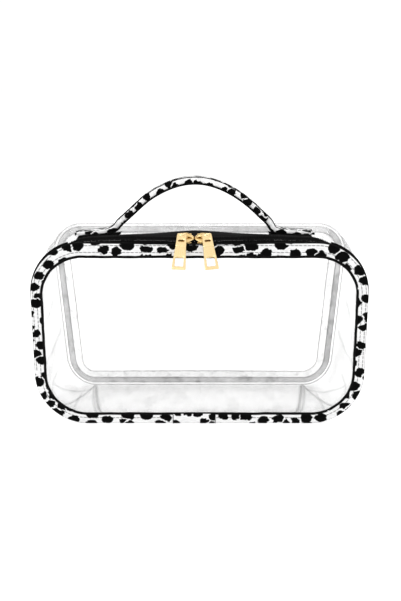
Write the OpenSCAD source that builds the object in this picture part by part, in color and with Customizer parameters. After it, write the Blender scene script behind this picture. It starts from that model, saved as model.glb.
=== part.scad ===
// Clear makeup bag: transparent sheet body, bound front edge, two-way zip
// across the top, carry handle sewn to the top panel.
// Millimetres, +Z up, +X to the right, the front faces -Y.

/* [Body] */
// width over the front binding
body_width = 240; // [180:1:300]
// height of the front over the binding
front_height = 135; // [115:1:170]
// depth from the front panel to the back panel
body_depth = 80; // [60:1:110]
// outer corner radius of the front
front_radius = 38; // [30:1:45]
// height of the back panel above the front's height
back_rise = 3; // [1:0.5:5]
// how much narrower the back is on each side
back_inset = 0.5; // [0:0.5:8]
// corner radius at the top of the back
back_radius = 25; // [20:1:36]
// corner radius at the bottom of the back
back_foot_radius = 24; // [20:1:36]
// share by which the back is narrower at its foot
back_lean = 0.085; // [0:0.005:0.1]

/* [Sheet and binding] */
// thickness of the clear sheet
sheet_t = 0.5; // [0.4:0.05:0.8]
// thickness of one leaf of the binding tape
leaf_t = 0.5; // [0.4:0.05:0.7]
// width of the front binding on the sides and bottom
bind_side = 7.5; // [6:0.5:10]
// width of the front binding along the top
bind_top = 9.5; // [8:0.5:12]
// width of the clear seam tape inside the back
back_bind_w = 11; // [8:0.5:16]
// left end of the binding's overlap
lap_left = -19.5; // [-30:0.5:-10]
// right end of the binding's overlap
lap_right = 11.5; // [5:0.5:20]

/* [Zip] */
// how far the zip runs past the start of each top corner
mouth_past = 16; // [8:1:20]
// tilt of the zip towards the front
zip_tilt = 40; // [35:1:45]
// x of the place where the two sliders meet
meet_x = -3.6; // [-10:0.1:10]
// thickness of the zip tape
tape_t = 0.5; // [0.4:0.05:0.6]
// height of the teeth above the tape
teeth_h = 1.9; // [1.5:0.1:2]
// width of one row of teeth
row_w = 2.6; // [2.2:0.1:2.8]
// gap between the two rows
row_gap = 1.4; // [1.2:0.1:1.6]

/* [Sliders and pulls] */
// length of a slider
slider_len = 12.4; // [11:0.1:14]
// length of a pull from its pin to its tip
pull_len = 28; // [22:0.5:34]
// width of a pull at its tip
pull_tip_w = 9.9; // [8:0.1:11]
// width of a pull at its pin
pull_top_w = 7; // [6:0.1:7]
// thickness of a pull
pull_t = 1.4; // [1:0.1:1.5]
// sideways splay of the left pull, degrees
left_splay = 4; // [0:0.5:6]
// sideways splay of the right pull, degrees
right_splay = 7; // [0:0.5:8]

/* [Handle] */
// x of the middle of the handle
handle_x = -3.5; // [-8:0.5:8]
// how far in from the start of each top corner the strap bends up
handle_in = 22.5; // [18:0.5:34]
// rise of the handle above the top panel
handle_rise = 37.5; // [30:0.5:50]
// width of the strap front to back
strap_w = 11; // [9:0.5:12]
// thickness of the stuffed strap
strap_t = 5; // [3:0.1:5]
// thickness of the strap's lining
lining_t = 0.8; // [0.6:0.1:1]
// length of the flat tab at each end
tab_len = 27; // [20:1:28]

/* [Hidden] */
$fn = 32;
// the space left between parts that move against each other
clear = 0.3;
// the pulls lean out over the binding, so the body sits this far back
lean_back = 8;
front_y = -body_depth / 2 + lean_back;
back_y = body_depth / 2 + lean_back;
half_w = body_width / 2;
back_half = half_w - back_inset;
back_h = front_height + back_rise;
corner_x = half_w - front_radius;
mouth_half = corner_x + mouth_past;
handle_half = corner_x - handle_in;
edge = 0.6;
fold_w = 1;
// middle of the chain, seen from the side
zip_y = front_y + 5.7;
zip_z = front_height + 0.9;
panel_y = front_y + 18;
top_z = front_height + 5;
// slider levels above the tape
plate_t = 0.8;
over_z = teeth_h + clear;
under_z = -tape_t - clear;
cheek_in = row_gap / 2 + row_w + 0.4;
cheek_out = cheek_in + 0.9;
pin_r = 0.6;
bore_r = 0.95;
barrel_r = 1.5;
pin_up = over_z + plate_t + barrel_r + clear;
pin_y = zip_y - pin_up * sin(zip_tilt);
pin_z = zip_z + pin_up * cos(zip_tilt);
pull_lean = zip_tilt + 4;
pull_off = 2.4;
barrel_l = 3.9;
handle_y = front_y + 24;
tab_t = 2;
patch_t = 0.5;
hinge_y = back_y - sheet_t - 0.25;
hinge_z = back_h - sheet_t / 2;
swing_z = top_z + 5;

// an arc's points from angle a to angle b
function arc(cx, cz, r, a, b, n) =
    [for (i = [0:n]) let (t = a + (b - a) * i / n)
        [cx + r * cos(t), cz + r * sin(t)]];

// points drawn in towards the middle, by the share lean at the foot
function leaned(points, z0, z1, lean) = [for (p = points)
    [p[0] * (1 - lean * (z1 - p[1]) / (z1 - z0)), p[1]]];

// a rounded rectangle's outline, counter-clockwise from the right side
function outline(hw, z0, z1, r, n = 10) = concat(
    arc(hw - r, z1 - r, r, 0, 90, n),
    arc(r - hw, z1 - r, r, 90, 180, n),
    arc(r - hw, z0 + r, r, 180, 270, n),
    arc(hw - r, z0 + r, r, 270, 360, n));

// the back's outline drawn in by d, narrower at its foot
function back_outline(d, n = 10) =
    let (hw = back_half - d, z0 = d, z1 = back_h - d, r = back_radius - d,
        q = back_foot_radius - d)
    leaned(concat(arc(hw - r, z1 - r, r, 0, 90, n),
        arc(r - hw, z1 - r, r, 90, 180, n),
        arc(q - hw, z0 + q, q, 180, 270, n),
        arc(hw - q, z0 + q, q, 270, 360, n)), z0, z1, back_lean);

// the front outline drawn in by d, and by top along the top edge
function front_outline(d, top) =
    outline(half_w - d, d, front_height - top, front_radius - d);

// how far the bag's top has dropped at x, for a corner of radius r
function drop(x, c, r) =
    abs(x) <= c ? 0 : r - sqrt(r * r - (abs(x) - c) * (abs(x) - c));

// an open outline from the mouth's right end round to its left end
function u_outline(hw, z0, z1, r, q, lean) =
    let (a = acos((mouth_half - hw + r) / r)) leaned(concat(
    arc(hw - r, z1 - r, r, a, 0, 7),
    arc(hw - q, z0 + q, q, 0, -90, 8),
    arc(q - hw, z0 + q, q, 270, 180, 8),
    arc(r - hw, z1 - r, r, 180, 180 - a, 7)), z0, z1, lean);

// the same open outline around the front, drawn in by d and placed at y
function front_outset(d, y) = [for (p = u_outline(half_w - d, d,
    front_height - d, front_radius - d, front_radius - d, 0))
    [p[0], y, p[1]]];

// stations from front to back: y, half width, bottom, top, the corner radii
// at the top and at the bottom, and how much narrower the foot is
stations = [
    [front_y + 7, half_w - 5, 4.5, front_height + 2.5, front_radius - 3.5,
        front_radius - 3.5, 0],
    [panel_y, half_w - 2.8, 2, top_z, front_radius - 4, front_radius - 5,
        back_lean * 0.12],
    [front_y + 0.62 * body_depth, half_w - 1.4, 0.5, top_z,
        (front_radius + back_radius) / 2 - 2.5,
        (front_radius + back_foot_radius) / 2 - 3, back_lean * 0.55],
    [back_y - sheet_t, back_half, 0, back_h, back_radius, back_foot_radius,
        back_lean]];

// a closed solid from grids of outer and inner points
module shell(outer, inner) {
    rows = len(outer);
    cols = len(outer[0]);
    total = rows * cols;
    points = concat([for (row = outer) each row], [for (row = inner) each row]);
    function at(i, j, k) = k * total + i * cols + j;
    faces = concat(
        [for (i = [0:rows - 2], j = [0:cols - 2], h = [0:1])
            h == 0 ? [at(i, j, 0), at(i, j + 1, 0), at(i + 1, j + 1, 0)]
                : [at(i, j, 0), at(i + 1, j + 1, 0), at(i + 1, j, 0)]],
        [for (i = [0:rows - 2], j = [0:cols - 2], h = [0:1])
            h == 0 ? [at(i, j, 1), at(i + 1, j + 1, 1), at(i, j + 1, 1)]
                : [at(i, j, 1), at(i + 1, j, 1), at(i + 1, j + 1, 1)]],
        [for (j = [0:cols - 2], h = [0:1])
            h == 0 ? [at(0, j, 0), at(0, j + 1, 1), at(0, j + 1, 0)]
                : [at(0, j, 0), at(0, j, 1), at(0, j + 1, 1)]],
        [for (j = [0:cols - 2], h = [0:1]) let (e = rows - 1)
            h == 0 ? [at(e, j, 0), at(e, j + 1, 0), at(e, j + 1, 1)]
                : [at(e, j, 0), at(e, j + 1, 1), at(e, j, 1)]],
        [for (i = [0:rows - 2], h = [0:1])
            h == 0 ? [at(i, 0, 0), at(i + 1, 0, 0), at(i + 1, 0, 1)]
                : [at(i, 0, 0), at(i + 1, 0, 1), at(i, 0, 1)]],
        [for (i = [0:rows - 2], h = [0:1]) let (e = cols - 1)
            h == 0 ? [at(i, e, 0), at(i + 1, e, 1), at(i + 1, e, 0)]
                : [at(i, e, 0), at(i, e, 1), at(i + 1, e, 1)]]);
    polyhedron(points = points, faces = faces);
}

// an outline stood up and made solid from y0 to y1
module slab(points, y0, y1) {
    translate([0, y1, 0])
        rotate([90, 0, 0])
            linear_extrude(y1 - y0)
                polygon(points);
}

// a flat ring between two outlines
module ring(outer, inner, y0, y1) {
    difference() {
        slab(outer, y0, y1);
        slab(inner, y0 - 1, y1 + 1);
    }
}

module front_panel() {
    color([0.9, 0.92, 0.93, 0.3])
        slab(front_outline(fold_w, fold_w), front_y - sheet_t, front_y);
}

module back_panel() {
    color([0.9, 0.92, 0.93, 0.3])
        slab(back_outline(0), back_y - sheet_t, back_y);
}

// the gusset is a flange behind the front panel, then the wall to the back
module side_gusset() {
    flange = [front_outset(fold_w, front_y + sheet_t),
        front_outset(bind_side, front_y + sheet_t)];
    lining = [front_outset(fold_w, front_y),
        front_outset(bind_side + sheet_t, front_y)];
    outer = [for (s = stations)
        [for (p = u_outline(s[1], s[2], s[3], s[4], s[5], s[6]))
            [p[0], s[0], p[1]]]];
    inner = [for (s = stations)
        [for (p = u_outline(s[1] - sheet_t, s[2] + sheet_t, s[3] - sheet_t,
            s[4] - sheet_t, s[5] - sheet_t, s[6])) [p[0], s[0], p[1]]]];
    color([0.88, 0.9, 0.92, 0.3])
        shell(concat(flange, outer), concat(lining, inner));
}

module front_binding() {
    color([0.93, 0.93, 0.92])
        difference() {
            union() {
                ring(front_outline(edge, edge),
                    front_outline(bind_side, bind_top),
                    front_y - sheet_t - leaf_t, front_y - sheet_t);
                ring(front_outline(0, 0), front_outline(fold_w, fold_w),
                    front_y - sheet_t, front_y + sheet_t);
                ring(front_outline(edge, edge),
                    front_outline(bind_side - 1.4, 2.2),
                    front_y + sheet_t, front_y + sheet_t + leaf_t);
            }
            translate([lap_left, front_y - 3, -1])
                cube([lap_right - lap_left, 6, 1 + edge]);
        }
}

module binding_overlap() {
    width = lap_right - lap_left;
    front = front_y - sheet_t - 2 * leaf_t;
    thick = 2 * sheet_t + 4 * leaf_t;
    color([0.9, 0.9, 0.89])
        translate([lap_left, front, 0])
            difference() {
                cube([width, thick, bind_side]);
                translate([-1, leaf_t, edge])
                    cube([width + 2, thick - 2 * leaf_t, bind_side]);
                translate([-1, leaf_t, bind_side - 1.6])
                    cube([width + 2, thick, bind_side]);
            }
}

module back_binding() {
    color([0.8, 0.82, 0.84, 0.4])
        ring(back_outline(2.2), back_outline(2.2 + back_bind_w),
            back_y - sheet_t - 1.2, back_y - sheet_t);
}

// the zip runs straight a little further than the top edge does
zip_bend_x = corner_x + mouth_past / 2;

// the places along the zip where its strips are cut across
zip_x = concat([for (i = [0:4])
        -mouth_half + 0.4 + i * (mouth_half - 0.4 - zip_bend_x) / 4],
    [for (i = [4:-1:0])
        mouth_half - 0.4 - i * (mouth_half - 0.4 - zip_bend_x) / 4]);

// a strip along the zip: top and bottom edges are [across, up] pairs
module zip_strip(upper, lower) {
    function place(p, x) = [x,
        zip_y + p[0] * cos(zip_tilt) - p[1] * sin(zip_tilt),
        zip_z + p[0] * sin(zip_tilt) + p[1] * cos(zip_tilt)
            - drop(x, zip_bend_x, 14)];
    shell([for (p = upper) [for (x = zip_x) place(p, x)]],
        [for (p = lower) [for (x = zip_x) place(p, x)]]);
}

// where the front tape meets the binding, and the back tape the top panel
tape_front = (front_y + sheet_t + leaf_t - zip_y) / cos(zip_tilt) + 0.4;
tape_bend = cheek_out + 0.4;

module front_zipper_tape() {
    color([0.08, 0.08, 0.09])
        zip_strip([[tape_front, 0], [-row_gap / 2, 0]],
            [[tape_front, -tape_t], [-row_gap / 2, -tape_t]]);
}

module front_zipper_teeth() {
    color([0.05, 0.05, 0.06])
        zip_strip([[-row_gap / 2 - row_w, teeth_h], [-row_gap / 2, teeth_h]],
            [[-row_gap / 2 - row_w, 0], [-row_gap / 2, 0]]);
}

// from side view y and z to the zip's own across and up
function across(y, z) =
    (y - zip_y) * cos(zip_tilt) + (z - zip_z) * sin(zip_tilt);
function upward(y, z) =
    (z - zip_z) * cos(zip_tilt) - (y - zip_y) * sin(zip_tilt);

module rear_zipper_tape() {
    end = [across(panel_y, top_z + tape_t), upward(panel_y, top_z + tape_t)];
    low = [across(panel_y, top_z), upward(panel_y, top_z)];
    color([0.08, 0.08, 0.09])
        zip_strip([[row_gap / 2, 0], [tape_bend, 0], end],
            [[row_gap / 2, -tape_t], [tape_bend, -tape_t], low]);
}

module rear_zipper_teeth() {
    color([0.05, 0.05, 0.06])
        zip_strip([[row_gap / 2, teeth_h], [row_gap / 2 + row_w, teeth_h]],
            [[row_gap / 2, 0], [row_gap / 2 + row_w, 0]]);
}

// the places where the top panel is cut across
panel_x = concat([for (i = [0:4])
        -mouth_half + 0.4 + i * (mouth_half - 0.4 - corner_x) / 4],
    [for (i = [4:-1:0])
        mouth_half - 0.4 - i * (mouth_half - 0.4 - corner_x) / 4]);

// the top panel follows the stations behind the zip
module top_panel() {
    mid = stations[1];
    rear = stations[2];
    rows = [[panel_y - 5, top_z - 1, mid[1] - mid[4], mid[4]],
        [panel_y + 10, top_z, mid[1] - mid[4], mid[4]],
        [rear[0], top_z, rear[1] - rear[4], rear[4]],
        [back_y - sheet_t - 0.5, back_h, back_half - back_radius,
            back_radius]];
    function sheet(lift) = [for (r = rows) [for (x = panel_x)
        [x, r[0], r[1] - lift - drop(x, r[2], r[3])]]];
    color([0.9, 0.92, 0.93, 0.3])
        shell(sheet(0), sheet(sheet_t));
}

// a plain bar with chamfered long edges, drawn along a path in x and z
module strap(path, width, thick, shift) {
    last = len(path) - 1;
    function along(i) = let (d = path[min(i + 1, last)] - path[max(i - 1, 0)])
        d / norm(d);
    function up(i) = let (d = along(i)) [-d[1], d[0]];
    function put(i, y, n) = let (q = path[i] + up(i) * (n + shift))
        [q[0], handle_y + y, q[1]];
    h = width / 2;
    t = thick / 2;
    c = min(t * 0.6, 1);
    function side(s) = [[-h, s * (t - c)], [c - h, s * t],
        [h - c, s * t], [h, s * (t - c)]];
    shell([for (p = side(-1)) [for (i = [0:last]) put(i, p[0], p[1])]],
        [for (p = side(1)) [for (i = [0:last]) put(i, p[0], p[1])]]);
}

// half of the arch: how far out along the span, how high up
arch = [[0.955, 0.16], [0.9, 0.235], [0.82, 0.35], [0.7, 0.52],
    [0.58, 0.67], [0.45, 0.8], [0.3, 0.91], [0.15, 0.98]];
function arch_point(p, s) =
    [handle_x + s * p[0] * handle_half, top_z - 1 + p[1] * handle_rise];
arch_path = concat([for (p = arch) arch_point(p, -1)],
    [[handle_x, top_z - 1 + handle_rise]],
    [for (i = [len(arch) - 1:-1:0]) arch_point(arch[i], 1)]);

module handle_strap() {
    color([0.93, 0.93, 0.92])
        strap(arch_path, strap_w, strap_t, 0);
}

module handle_lining() {
    color([0.06, 0.06, 0.06])
        strap(arch_path, strap_w - 0.6, lining_t, -strap_t / 2 - lining_t / 2);
}

// one end of the strap: flat on the top panel, then bending up
module tab(s) {
    level = top_z + patch_t + tab_t / 2 + 0.15;
    foot = arch_point([0.965, 0.15], s);
    path = [[handle_x + s * (handle_half + tab_len), level],
        [handle_x + s * (handle_half + 5), level],
        [handle_x + s * (handle_half + 1.5), level + 0.6],
        [foot[0] + s * 0.4, foot[1] - 0.6]];
    ordered = s < 0 ? path : [for (i = [3:-1:0]) path[i]];
    strap(ordered, strap_w, tab_t, 0);
}

module handle_tab_left() {
    color([0.93, 0.93, 0.92])
        tab(-1);
}

module handle_tab_right() {
    color([0.93, 0.93, 0.92])
        tab(1);
}

// the lining that shows under the bend of each tab
module patch(s) {
    near = handle_x + s * (handle_half - 4);
    far = handle_x + s * (handle_half + tab_len - 1);
    translate([min(near, far), handle_y - strap_w / 2 + 0.4, top_z + 0.05])
        cube([abs(far - near), strap_w - 0.8, patch_t]);
}

module handle_patch_left() {
    color([0.06, 0.06, 0.06])
        patch(-1);
}

module handle_patch_right() {
    color([0.06, 0.06, 0.06])
        patch(1);
}

// where a slider's middle is; s is -1 for the left one, 1 for the right one
function slider_x(s) = meet_x + s * (slider_len / 2 + 0.15);

// puts a child on the chain, its nose towards the other slider
module on_chain(s) {
    translate([slider_x(s), zip_y, zip_z])
        rotate([zip_tilt, 0, 0])
            children();
}

// a slider plate seen from above: round tail, wide shoulders, pointed nose
function plate_outline(s, half) = let (e = slider_len / 2)
    [[s * (e - 1), -half + 0.9], [s * e, 1.2 - half * 0.6],
    [s * e, half * 0.6 - 1.2], [s * (e - 1), half - 0.9],
    [s * (e - 2.6), half - 0.2], [-s * (e - 4), half],
    [-s * (e - 1.6), half * 0.55], [-s * e, 0.5],
    [-s * e, -0.5], [-s * (e - 1.6), -half * 0.55],
    [-s * (e - 4), -half], [s * (e - 2.6), 0.2 - half]];

module slider_body(s) {
    e = slider_len / 2;
    on_chain(s)
        union() {
            translate([0, 0, over_z])
                linear_extrude(plate_t)
                    polygon(plate_outline(s, cheek_out));
            translate([0, 0, under_z - plate_t])
                linear_extrude(plate_t)
                    polygon(plate_outline(s, cheek_out));
            for (k = [-1, 1])
                translate([-e + 3.6, k > 0 ? cheek_in : -cheek_out + 0.3, clear])
                    cube([slider_len - 7.2, 0.6, over_z - clear + 0.2]);
            translate([-s * (e - 2.2) - 1.1, -0.4, under_z - 0.2])
                cube([2.2, 0.8, over_z - under_z + 0.4]);
        }
}

module slider_bridge(s) {
    e = slider_len / 2;
    foot = over_z + plate_t;
    on_chain(s)
        union() {
            translate([-e + 0.6, 0, pin_up])
                rotate([0, 90, 0])
                    cylinder(r = pin_r, h = slider_len - 1.2);
            for (k = [-1, 1])
                translate([k * (e - 1.1) - 0.5, -pin_r, foot])
                    cube([1, 2 * pin_r, pin_up - foot]);
        }
}

module left_slider_body() {
    color([0.83, 0.68, 0.36])
        slider_body(-1);
}

module right_slider_body() {
    color([0.83, 0.68, 0.36])
        slider_body(1);
}

module left_slider_bridge() {
    color([0.83, 0.68, 0.36])
        slider_bridge(-1);
}

module right_slider_bridge() {
    color([0.83, 0.68, 0.36])
        slider_bridge(1);
}

// a pull hanging from its pin, splayed sideways by the given angle
module pull(s, splay) {
    b = pull_tip_w / 2;
    t = pull_top_w / 2;
    translate([slider_x(s) + s * pull_off, pin_y, pin_z])
        rotate([-pull_lean, 0, 0])
            difference() {
                union() {
                    rotate([0, 90, 0])
                        cylinder(r = barrel_r, h = barrel_l, center = true);
                    rotate([0, -s * splay, 0])
                        translate([0, pull_t / 2, 0])
                            rotate([90, 0, 0])
                                linear_extrude(pull_t)
                                    polygon([[-t, -1], [t, -1],
                                        [b, 1.2 - pull_len], [b - 0.4, 0.3 - pull_len],
                                        [b - 1.2, -pull_len], [1.2 - b, -pull_len],
                                        [0.4 - b, 0.3 - pull_len],
                                        [-b, 1.2 - pull_len]]);
                }
                rotate([0, 90, 0])
                    cylinder(r = bore_r, h = 20, center = true);
                rotate([0, -s * splay, 0]) {
                    translate([-2.9, -5, 2.4 - pull_len])
                        cube([5.8, 10, 7.4]);
                    translate([-1.7, -5, -4.6])
                        cube([3.4, 10, 1.3]);
                }
            }
}

module left_pull() {
    color([0.86, 0.71, 0.4])
        pull(-1, left_splay);
}

module right_pull() {
    color([0.86, 0.71, 0.4])
        pull(1, right_splay);
}

front_panel();
back_panel();
side_gusset();
front_binding();
binding_overlap();
back_binding();
front_zipper_tape();
front_zipper_teeth();
top_panel();
rear_zipper_tape();
rear_zipper_teeth();
handle_tab_left();
handle_tab_right();
handle_patch_left();
handle_patch_right();
handle_strap();
handle_lining();
left_slider_body();
right_slider_body();
left_slider_bridge();
right_slider_bridge();
left_pull();
right_pull();
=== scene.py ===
"""The looks of a clear box-shaped makeup bag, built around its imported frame.

Every piece is a surface of two parameters, worked out with numpy in metres in
the frame's own axes: +X to the right, the front faces -Y, +Z up.
"""

import logging
import math
from dataclasses import dataclass, field
from enum import Enum
from typing import Any, Optional, Sequence

import bmesh
import bpy
import numpy as np
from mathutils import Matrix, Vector
from numpy.typing import NDArray

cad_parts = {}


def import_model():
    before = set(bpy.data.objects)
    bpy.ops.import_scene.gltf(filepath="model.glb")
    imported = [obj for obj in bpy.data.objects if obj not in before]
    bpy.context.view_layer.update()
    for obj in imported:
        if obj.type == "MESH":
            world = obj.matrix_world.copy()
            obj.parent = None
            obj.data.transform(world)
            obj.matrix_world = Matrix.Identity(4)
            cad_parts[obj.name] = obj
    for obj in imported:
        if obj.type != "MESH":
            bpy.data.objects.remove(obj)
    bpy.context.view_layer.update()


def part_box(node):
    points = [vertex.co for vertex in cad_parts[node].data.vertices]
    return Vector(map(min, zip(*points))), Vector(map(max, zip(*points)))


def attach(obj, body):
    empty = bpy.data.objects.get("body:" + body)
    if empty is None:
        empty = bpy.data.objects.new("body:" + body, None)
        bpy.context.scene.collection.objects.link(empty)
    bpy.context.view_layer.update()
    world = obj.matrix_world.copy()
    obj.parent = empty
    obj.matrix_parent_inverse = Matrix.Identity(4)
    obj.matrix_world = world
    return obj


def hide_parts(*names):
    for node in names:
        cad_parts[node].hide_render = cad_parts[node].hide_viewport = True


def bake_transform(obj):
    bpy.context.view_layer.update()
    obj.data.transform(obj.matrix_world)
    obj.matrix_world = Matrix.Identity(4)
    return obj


Array = NDArray[np.float64]
LOG = logging.getLogger("makeup_bag")
MM = 0.001


# --------------------------------------------------------------------------
# Shader maths
# --------------------------------------------------------------------------


class Value:
    """A shader socket that adds its own Math nodes when it is calculated with."""

    def __init__(self, shader: "Shader", socket: Any) -> None:
        """Wraps a socket of a shader."""
        self.shader = shader
        self.socket = socket

    def _math(self, operation: str, *others: Any, clamp: bool = False) -> "Value":
        """One Math node of the given operation on this value and the others.

        Args:
            operation: the Math node's operation.
            others: the values or numbers that follow this one.
            clamp: whether to hold the result between 0 and 1.

        Returns:
            The result.
        """
        node = self.shader.node(
            "ShaderNodeMath",
            {"operation": operation, "use_clamp": clamp},
            **{str(i): v for i, v in enumerate((self, *others))},
        )
        return Value(self.shader, node.outputs[0])

    def __add__(self, other: Any) -> "Value":
        """Sum."""
        return self._math("ADD", other)

    __radd__ = __add__

    def __sub__(self, other: Any) -> "Value":
        """Difference."""
        return self._math("SUBTRACT", other)

    def __rsub__(self, other: Any) -> "Value":
        """Difference, with this value taken away.

        Args:
            other: a value or a number.

        Returns:
            The difference.
        """
        node = self.shader.node(
            "ShaderNodeMath", {"operation": "SUBTRACT"}, **{"0": other, "1": self}
        )
        return Value(self.shader, node.outputs[0])

    def __mul__(self, other: Any) -> "Value":
        """Product."""
        return self._math("MULTIPLY", other)

    __rmul__ = __mul__

    def __truediv__(self, other: Any) -> "Value":
        """Quotient."""
        return self._math("DIVIDE", other)

    def __pow__(self, other: Any) -> "Value":
        """Power."""
        return self._math("POWER", other)

    def sine(self) -> "Value":
        """Sine of this value."""
        return self._math("SINE")

    def magnitude(self) -> "Value":
        """This value without its sign."""
        return self._math("ABSOLUTE")

    def clamped(self) -> "Value":
        """This value held between 0 and 1."""
        return self._math("ADD", 0.0, clamp=True)

    def step(self, low: float, high: float) -> "Value":
        """A smooth step from 0 at low to 1 at high, or down where low > high.

        Args:
            low: the input that gives 0.
            high: the input that gives 1.

        Returns:
            The stepped value.
        """
        node = self.shader.node(
            "ShaderNodeMapRange",
            {"interpolation_type": "SMOOTHSTEP"},
            Value=self,
            **{"From Min": low, "From Max": high},
        )
        return Value(self.shader, node.outputs[0])


class Shader:
    """A node-based material, made from one kind of call."""

    def __init__(self, name: str) -> None:
        """Starts an empty material.

        Args:
            name: the material's name.
        """
        self.material = bpy.data.materials.new(name)
        self.material.use_nodes = True
        self.tree = self.material.node_tree
        self.tree.nodes.clear()
        self.output = self.tree.nodes.new("ShaderNodeOutputMaterial")

    def node(self, kind: str, settings: Optional[dict] = None, **inputs: Any) -> Any:
        """Adds a node.

        Args:
            kind: the node's type.
            settings: attributes to set first; "stops" fills a colour ramp.
            inputs: values or links by socket name or number.

        Returns:
            The new node.
        """
        made = self.tree.nodes.new(kind)
        for key, value in (settings or {}).items():
            if key == "stops":
                self._fill_ramp(made.color_ramp, value)
            else:
                setattr(made, key, value)
        for key, value in inputs.items():
            socket = made.inputs[int(key) if key.isdigit() else key]
            if isinstance(value, Value):
                self.tree.links.new(value.socket, socket)
            elif hasattr(value, "is_output"):
                self.tree.links.new(value, socket)
            else:
                socket.default_value = value
        return made

    @staticmethod
    def _fill_ramp(ramp: Any, stops: Sequence[tuple]) -> None:
        """Sets a ramp's stops, each a place and a colour.

        Args:
            ramp: the colour ramp.
            stops: pairs of a place and a colour.
        """
        while len(ramp.elements) < len(stops):
            ramp.elements.new(0.5)
        for element, (place, colour) in zip(ramp.elements, stops):
            element.position = place
            element.color = colour

    def value(self, kind: str, settings: Optional[dict] = None, **inputs: Any) -> Value:
        """Adds a node and returns its first output as a value."""
        return Value(self, self.node(kind, settings, **inputs).outputs[0])

    def place(self) -> Any:
        """Object coordinates, in metres."""
        return self.node("ShaderNodeTexCoord").outputs["Object"]

    def along(self) -> Any:
        """The piece's own UV map: metres along it and across it."""
        return self.node("ShaderNodeUVMap", {"uv_map": "along"}).outputs[0]

    def parts(self, vector: Any) -> tuple[Value, Value, Value]:
        """A vector's three numbers."""
        made = self.node("ShaderNodeSeparateXYZ", None, **{"0": vector})
        return tuple(Value(self, o) for o in made.outputs)

    def scaled(self, vector: Any, scale: tuple[float, float, float]) -> Any:
        """A vector stretched along each axis.

        Args:
            vector: the coordinate.
            scale: the factor for each axis.

        Returns:
            The scaled coordinate.
        """
        return self.node(
            "ShaderNodeVectorMath", {"operation": "MULTIPLY"}, **{"0": vector, "1": scale}
        ).outputs[0]

    def noise(self, vector: Any, scale: float, detail: float = 2.0) -> Value:
        """Smooth noise from 0 to 1 of the given scale in 1/metres.

        Args:
            vector: the coordinate.
            scale: how fine it is, per metre.
            detail: how many finer layers are added.

        Returns:
            A value between 0 and 1.
        """
        return self.value(
            "ShaderNodeTexNoise", None, Vector=vector, Scale=scale, Detail=detail
        )

    def mix(self, share: Any, first: Any, second: Any) -> Any:
        """A colour between two colours.

        Args:
            share: how much of the second.
            first: the colour at 0.
            second: the colour at 1.

        Returns:
            The blended colour.
        """
        made = self.node("ShaderNodeMix", {"data_type": "RGBA"})
        for index, item in ((0, share), (6, first), (7, second)):
            if isinstance(item, Value):
                self.tree.links.new(item.socket, made.inputs[index])
            elif hasattr(item, "is_output"):
                self.tree.links.new(item, made.inputs[index])
            else:
                made.inputs[index].default_value = item
        return made.outputs[2]

    def bump(self, height: Value, depth: float, strength: float = 1.0) -> Any:
        """A normal tilted by a height field, depth in metres for height 1.

        Args:
            height: the height value.
            depth: the depth in metres.
            strength: how strongly it shows.

        Returns:
            The turned normal.
        """
        return self.node(
            "ShaderNodeBump", None, Height=height, Distance=depth, Strength=strength
        ).outputs[0]

    def finish(self, surface: Any) -> Any:
        """Joins the surface to the output and returns the material."""
        self.tree.links.new(surface, self.output.inputs["Surface"])
        return self.material


def grey(level: float) -> tuple[float, float, float, float]:
    """An opaque grey of the given brightness."""
    return (level, level, level, 1.0)


# --------------------------------------------------------------------------
# Finishes
# --------------------------------------------------------------------------


class Pattern(Enum):
    """Which coordinates a printed cloth's spots follow."""

    PLACE = "place"
    ALONG = "along"


@dataclass(frozen=True)
class ClearVinyl:
    """Soft clear sheet: nearly all see-through, glossy, brighter at a slant; painted shade darkens
    its colour at a slant and in the creases.
    """

    name: str
    haze: float = 0.035
    rim: float = 0.42
    tone: float = 0.93
    ripple: float = 0.0006
    roughness: float = 0.07

    def make(self) -> Any:
        """Builds the material.

        Returns:
            The material: a mix of Transparent and a glossy Principled shader,
            whose share grows with the slant, in painted reflection streaks and in
            the creases; painted shade darkens its colour at a slant and in the creases.
        """
        shader = Shader(self.name)
        place = shader.place()
        crease = Value(
            shader, shader.node("ShaderNodeAttribute", {"attribute_name": "crease"}).outputs[2]
        )
        slow = shader.noise(place, 22.0, 1.0)
        streak = shader.noise(shader.scaled(place, (60.0, 25.0, 9.0)), 1.0, 2.0)
        grain = shader.noise(place, 420.0, 2.0)
        height = slow * 0.7 + streak * 0.3
        normal = shader.bump(height, self.ripple)
        slant = Value(
            shader, shader.node("ShaderNodeLayerWeight", None, Blend=0.35).outputs[1]
        )
        # Painted reflection streaks: streaky patches where more of the sheet shows.
        painted_reflection_streaks = streak.step(0.46, 0.74) * 0.11 + slow.step(0.45, 0.8) * 0.04
        share = (slant**2.6 * self.rim + painted_reflection_streaks + self.haze + crease * 0.42).clamped()
        # Painted shade: the sheet's colour darkens at a slant and in the creases.
        dark = (slant.step(0.45, 1.0) * 0.75 + crease * 0.8).clamped()
        solid = shader.node(
            "ShaderNodeBsdfPrincipled",
            None,
            **{
                "Base Color": shader.mix(dark, grey(self.tone), grey(self.tone * 0.36)),
                "Roughness": grain * 0.05 + self.roughness,
                "Normal": normal,
            },
        )
        solid.inputs["IOR"].default_value = 1.53
        open_part = shader.node("ShaderNodeBsdfTransparent", None, Color=grey(0.993))
        mixed = shader.node(
            "ShaderNodeMixShader",
            None,
            **{"0": share, "1": open_part.outputs[0], "2": solid.outputs[0]},
        )
        return shader.finish(mixed.outputs[0])


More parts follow.
